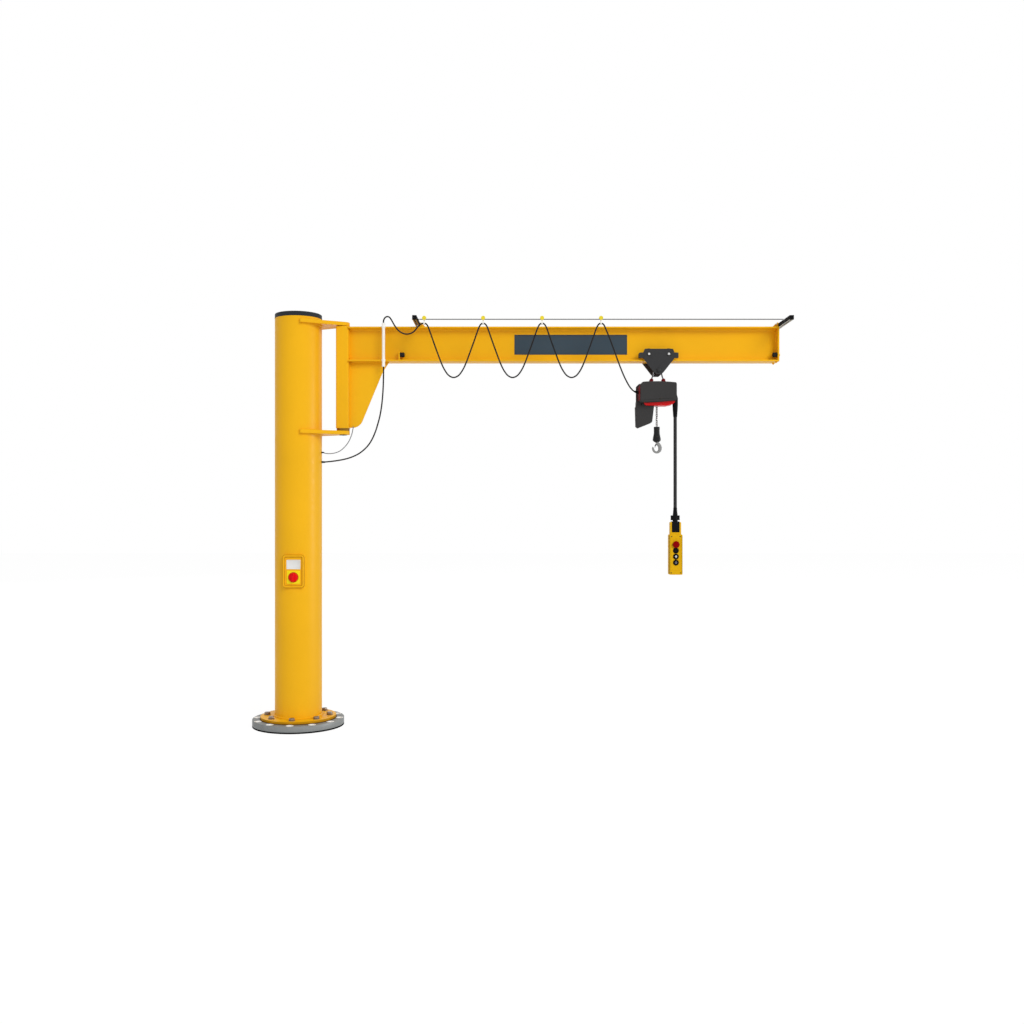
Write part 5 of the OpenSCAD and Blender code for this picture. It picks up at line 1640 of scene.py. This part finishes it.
    def folded(self, lowered_z: float) -> float:
        """Finds the height at rest of a chain point by halving the span again and again.

        Args:
            lowered_z: its height when the hook is right down.

        Returns:
            The height that the blend moves there.
        """
        low, high = self.feed_foot - 0.004, self.feed_top
        for _ in range(40):
            z = (low + high) / 2
            t = min(1.0, max(0.0, (self.feed_top - z) / (self.feed_top - self.feed_foot)))
            if z - self.lowered * t * t * (3 - 2 * t) < lowered_z:
                low = z
            else:
                high = z
        return (low + high) / 2


@dataclass
class BottomBlock(Part):
    """Bottom block, forged hook and safety latch."""

    x: float = CHAIN_X
    foot_z: float = 1.977
    height: float = 0.106
    hook_z: float = 1.931
    hook_r: float = 0.009

    def build(self) -> None:
        """Dresses the bottom block, the hook and the latch."""
        self.block()
        self.hook()
        self.shop.eased("hook_latch", LATCH_DARK, 0.0004)
        self.spring()

    def block(self) -> None:
        """Turns the block's housing with its parting groove and chain pocket."""
        h = self.height
        body = Bench.turned("hook_block_housing", [
            (0.0085, 0.0), (0.0165, 0.0), (0.0185, 0.001), (0.0265, 0.0092), (0.028, 0.0118),
            (0.0285, 0.0148), (0.0283, 0.0195), (0.0272, 0.0265), (0.025, 0.037),
            (0.0226, 0.048), (0.0211, 0.057), (0.0204, 0.067), (0.0203, 0.082), (0.0207, 0.095),
            (0.0208, 0.1025), (0.0203, 0.1048), (0.0192, h),
            (0.0125, h), (0.0115, h - 0.002), (0.0115, h - 0.012), (0.0, h - 0.012)],
            (self.x, 0, self.foot_z), steps=64)
        seam = Bench.tube("seam", [(self.x, -0.0208, self.foot_z + h - 0.007),
                                   (self.x, -0.0203, self.foot_z + 0.075),
                                   (self.x, -0.0211, self.foot_z + 0.057),
                                   (self.x, -0.0283, self.foot_z + 0.02)], 0.0006)
        screws = []
        for z, r in ((0.036, 0.0252), (0.086, 0.0204)):
            screws.append(Bench.turned("block_screws", [
                (0.0022, -0.001), (0.0022, 0.0006), (0.0035, 0.0012), (0.005, 0.0006),
                (0.0054, -0.004)], (self.x, -r, self.foot_z + z), (0, -1, 0), 24))
        seam = Bench.mirrored(seam)
        self.shop.dress(Bench.joined(body, seam), BLOCK_BLACK, "bottom_block", "hook_block")
        self.shop.dress(Bench.mirrored(Bench.joined(*screws)), DARK_STEEL, "bottom_block")

    def hook(self) -> None:
        """Forges the hook in one sweep from its point to its shank, thickest at its back."""
        stations = [(-27.5, 12.5, 2.2), (-27.6, 9.0, 4.6), (-27.0, 3.0, 6.4), (-25.5, -4.0, 7.4),
                    (-21.5, -13.5, 7.8), (-15.0, -21.0, 7.6), (-6.0, -25.8, 7.6),
                    (4.0, -25.8, 8.2), (13.0, -21.0, 9.6), (19.5, -12.5, 11.4), (22.8, -2.0, 12.8),
                    (22.6, 8.0, 13.0), (19.6, 17.5, 12.8), (15.0, 26.0, 12.4), (9.2, 33.0, 11.8),
                    (4.2, 38.5, 11.0), (1.0, 44.0, 9.6), (0.0, 50.0, 7.8)]
        path = smoothed([(self.x + u / 1000, 0.0, self.hook_z + v / 1000)
                         for u, v, _ in stations], 3)
        radii = [r for _, _, r in smoothed([(0, 0, r / 1000) for _, _, r in stations], 3)]
        forged = Bench.tube("load_hook_forging", path, self.hook_r, radii=radii, fineness=6)
        with Bench.editing(forged):
            bpy.ops.transform.resize(value=(1, 0.8, 1), center_override=(self.x, 0, self.hook_z))
        shank = Bench.turned("shank", [
            (0.0, 0.0), (0.0092, 0.0), (0.0105, 0.0015), (0.0105, 0.004), (0.0092, 0.0055),
            (0.0079, 0.0065), (0.0079, 0.026), (0.0, 0.026)],
            (self.x, 0, self.hook_z + 0.0405), steps=40)
        self.shop.dress(Bench.joined(forged, shank), HOOK_GREY, "hook", "load_hook")

    def spring(self) -> None:
        """Winds the latch spring round its pin."""
        x, z = self.x - 0.001, self.hook_z + 0.033
        coil = [(x + 0.0034 * math.cos(a), 0.0092 + 0.0012 * a / FULL_TURN - 0.0006,
                 z + 0.0034 * math.sin(a)) for a in
                (FULL_TURN * i / 14 for i in range(20))]
        made = Bench.tube("latch_spring", coil, 0.0005, fineness=1)
        rivet = Bench.turned("rivet", [(0.0, 0.0), (0.0042, 0.0), (0.0038, 0.0012),
                                       (0.002, 0.0019), (0.0, 0.002)],
                             (x, 0.011, z), (0, 1, 0), 24)
        self.shop.dress(Bench.joined(made, Bench.mirrored(rivet)), ZINC, "latch")


# ---------------------------------------------------------------- pendant


@dataclass
class Pendant(Part):
    """Pendant control: boot, cable, gland, housing, push buttons and emergency stop."""

    x: float = 2.636
    boot_z: float = 2.153
    cable_r: float = 0.012
    gland_z: float = 1.418
    gland_top: float = 1.518
    top_z: float = 1.331
    face_y: float = -0.033
    half_w: float = 0.046
    foot_z: float = 1.05
    panel_half: float = 0.034
    panel_z: Flat = (1.083, 1.3)
    panel_r: float = 0.008
    neck_half: tuple[float, float] = (0.027, 0.0262)
    neck_z: Flat = (1.346, 1.4215)
    clamp_z: float = 1.43
    heights: tuple[float, ...] = (1.261, 1.219, 1.177, 1.135)

    def build(self) -> None:
        """Dresses the pendant."""
        self.boot()
        self.cable()
        self.gland()
        self.housing()
        self.emergency_stop()
        for name, finish, body, z in (
                ("stop_button", BLACK_PLASTIC, "stop_push", self.heights[1]),
                ("up_button", BLACK_PLASTIC, "up_push", self.heights[2]),
                ("down_button", BLACK_PLASTIC, "down_push", self.heights[3])):
            self.button(name, finish, body, z)
        self.arrow("up_arrow", GREY_PLASTIC, "up_push", self.heights[2], 1)
        self.arrow("down_arrow", MID_GREY, "down_push", self.heights[3], -1)

    def boot(self) -> None:
        """Turns the soft boot that holds the cable under the hoist."""
        boot = Bench.turned("pendant_boot_sleeve", [
            (0.0, 0.0), (0.0125, 0.0), (0.0142, 0.002), (0.0144, 0.006), (0.0136, 0.0075),
            (0.0146, 0.0095), (0.0152, 0.018), (0.0144, 0.0195), (0.0154, 0.0215),
            (0.016, 0.031), (0.0152, 0.0325), (0.0163, 0.0345), (0.0172, 0.05), (0.0183, 0.07),
            (0.019, 0.086), (0.019, 0.128), (0.0178, 0.136), (0.009, 0.168), (0.0, 0.17)],
            (self.x, 0, self.boot_z), steps=48)
        self.shop.dress(boot, BLACK_PLASTIC, "trolley", "pendant_boot")

    def cable(self) -> None:
        """Hangs the thick pendant cable in its sleeve."""
        steps = 30
        drop = self.boot_z + 0.01 - self.gland_top + 0.01
        path = [(self.x, 0.0, self.boot_z + 0.01 - drop * i / steps) for i in range(steps + 1)]
        piece = Bench.tube("pendant_cable_run", path, self.cable_r, fineness=5)
        self.shop.dress(piece, SHEATH_DARK, "trolley", "pendant_cable")

    def gland(self) -> None:
        """Turns the ribbed strain relief, with its clamp and the two clamp screws."""
        relief = Bench.turned("pendant_gland_relief", [
            (0.0, 0.0), (0.0178, 0.0), (0.0178, 0.044), (0.0168, 0.046), (0.0172, 0.052),
            (0.016, 0.0535), (0.0164, 0.0595), (0.0152, 0.061), (0.0156, 0.067), (0.0145, 0.0685),
            (0.0148, 0.0745), (0.0138, 0.076), (0.0141, 0.082), (0.0131, 0.0835),
            (0.0133, 0.0965), (0.0126, 0.1), (0.0, 0.1)],
            (self.x, 0, self.gland_z), steps=40)
        clamp = Bench.block("clamp", (self.x - 0.0225, -0.013, self.gland_z + 0.012),
                            (self.x + 0.0225, 0.013, self.gland_z + 0.044), 0.003, 3)
        knob = Bench.turned("knobs", [
            (0.0, 0.0), (0.0075, 0.0), (0.008, 0.001), (0.008, 0.0125), (0.0068, 0.0145),
            (0.0068, 0.0175), (0.008, 0.0195), (0.008, 0.031), (0.0072, 0.0335), (0.0, 0.034)],
            (self.x + 0.024, 0, self.clamp_z), steps=28)
        knobs = Bench.copied(knob, shifts((-0.048, 0, 0)))
        self.shop.dress(Bench.joined(relief, clamp, knobs), BLACK_PLASTIC, "trolley",
                        "pendant_gland")

    def housing(self) -> None:
        """Dresses the housing, its raised front panel, the neck block and the screws."""
        self.shop.eased("pendant_box", PENDANT_YELLOW, 0.0035, 3)
        x, z = self.panel_half - self.panel_r, self.panel_z
        corners = ((-x, z[0] + self.panel_r), (x, z[0] + self.panel_r),
                   (x, z[1] - self.panel_r), (-x, z[1] - self.panel_r))
        rim = Bench.tube("pendant_panel_rim", [
            point for (dx, level), start in zip(corners, (180, 270, 0, 90))
            for point in arc(self.panel_r, start, start + 90, 5,
                             (self.x + dx, self.face_y, level), "xz")],
            0.0012, closed=True, fineness=2)
        seam = Bench.tube("seam", [
            (self.x + self.half_w + 0.0001, -0.004, self.foot_z + 0.012),
            (self.x + self.half_w + 0.0001, -0.004, self.top_z - 0.01)], 0.0009, fineness=2)
        seam = Bench.mirrored(seam, (1, 0, 0), (self.x, 0, 0))
        self.shop.dress(Bench.joined(rim, seam), PENDANT_YELLOW, "trolley")
        # Dark strips down both sides: painted shade on the housing's rounded edges.
        edge = Bench.block("pendant_shade_strips", (self.x + self.half_w - 0.0075,
                                             self.face_y - 0.0005, self.foot_z + 0.005),
                           (self.x + self.half_w + 0.0004, -0.006, self.top_z - 0.005),
                           0.0035, 4)
        self.shop.dress(Bench.mirrored(edge, (1, 0, 0), (self.x, 0, 0)), PENDANT_SHADE,
                        "trolley")
        (wide, deep), (low, high) = self.neck_half, self.neck_z
        centre = Bench.block("pendant_neck_block", (self.x - wide, -deep, low),
                             (self.x + wide, deep, high), 0.002, 2)
        self.shop.dress(centre, BLACK_PLASTIC, "trolley")
        screw = Bench.turned("pendant_screws", [
            (0.0, 0.0002), (0.001, 0.0002), (0.0014, 0.0014), (0.0034, 0.0011), (0.0044, 0.0),
            (0.0044, -0.0015)], (self.x + 0.0325, self.face_y, 1.063), (0, -1, 0), 20)
        screws = Bench.copied(screw, shifts((-0.065, 0, 0), (-0.003, 0, 0.2535),
                                            (-0.062, 0, 0.2535)))
        self.shop.dress(screws, DARK_STEEL, "trolley")

    def collar(self, name: str, z: float, outer: float, bore: float,
               height: float = 0.0056) -> Piece:
        """Turns the ring that frames one button, on the housing's face."""
        return Bench.turned(name, [
            (bore, -0.001), (bore, height - 0.0008), (bore + 0.001, height),
            (outer - 0.0022, height), (outer - 0.0005, height * 0.5), (outer, 0.0),
            (bore, -0.001)], (self.x, self.face_y, z), (0, -1, 0), 48)

    def button(self, name: str, finish: Finish, body: str, z: float) -> None:
        """Turns one push button with a dished cap, and its collar.

        Args:
            name: the CAD node that it stands for.
            finish: the cap's finish.
            body: the body that it moves with.
            z: its height.
        """
        cap = Bench.turned(name + "_cap", [
            (0.0, 0.0064), (0.006, 0.0066), (0.0098, 0.0076), (0.0118, 0.008), (0.0129, 0.0074),
            (0.0134, 0.006), (0.0134, -0.012), (0.0, -0.012)],
            (self.x, self.face_y, z), (0, -1, 0), 48)
        self.shop.dress(cap, finish, body, name)
        self.shop.dress(self.collar(name + "_collar", z, 0.0204, 0.0144), BLACK_PLASTIC,
                        "trolley")

    def arrow(self, name: str, finish: Finish, body: str, z: float, way: int) -> None:
        """Raises the plain arrow on one button's cap.

        Args:
            name: the piece's name.
            finish: the arrow's finish.
            body: the body that it moves with.
            z: the button's height.
            way: 1 points up and -1 points down.
        """
        outline = [(u * way, v * way) for u, v in (
            (-0.0034, -0.0094), (0.0034, -0.0094), (0.0034, -0.0004), (0.0092, -0.0004),
            (0.0, 0.0106), (-0.0092, -0.0004), (-0.0034, -0.0004))]
        arrow = Bench.plate(name, [(self.x + u, z + v) for u, v in outline],
                            self.face_y - 0.0082, 0.0014, 0.0002)
        self.shop.dress(arrow, finish, body)

    def emergency_stop(self) -> None:
        """Turns the mushroom head of the emergency stop, and its collar."""
        z = self.heights[0]
        head = Bench.turned("estop_head", [
            (0.0, 0.0198), (0.008, 0.0196), (0.0155, 0.0184), (0.0205, 0.0162),
            (0.0234, 0.0138), (0.0237, 0.0122), (0.0222, 0.0106), (0.0168, 0.0098),
            (0.0168, -0.012), (0.0, -0.012)], (self.x, self.face_y, z), (0, -1, 0), 64)
        self.shop.dress(head, RED_DEEP, "estop", "estop_button")
        self.shop.dress(self.collar("estop_collar", z, 0.0222, 0.0182, 0.003), BLACK_PLASTIC,
                        "trolley")


# ---------------------------------------------------------------- the crane


def main(frame: dict) -> None:
    """Builds the studio, the cables and then each sub-assembly in order.
    """
    logging.basicConfig(level=logging.INFO, format="%(message)s")
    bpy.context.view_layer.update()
    shop = PaintShop(frame)
    Studio().build()
    for part in (Cabling, Base, Column, MainSwitch, Jib, Festoon, Trolley, Hoist, BottomBlock,
                 Pendant):
        LOG.info("building %s", part.__name__)
        part(shop).build()
    Bench.take()
    bpy.context.view_layer.update()


if __name__ == "__main__":
    main(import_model())
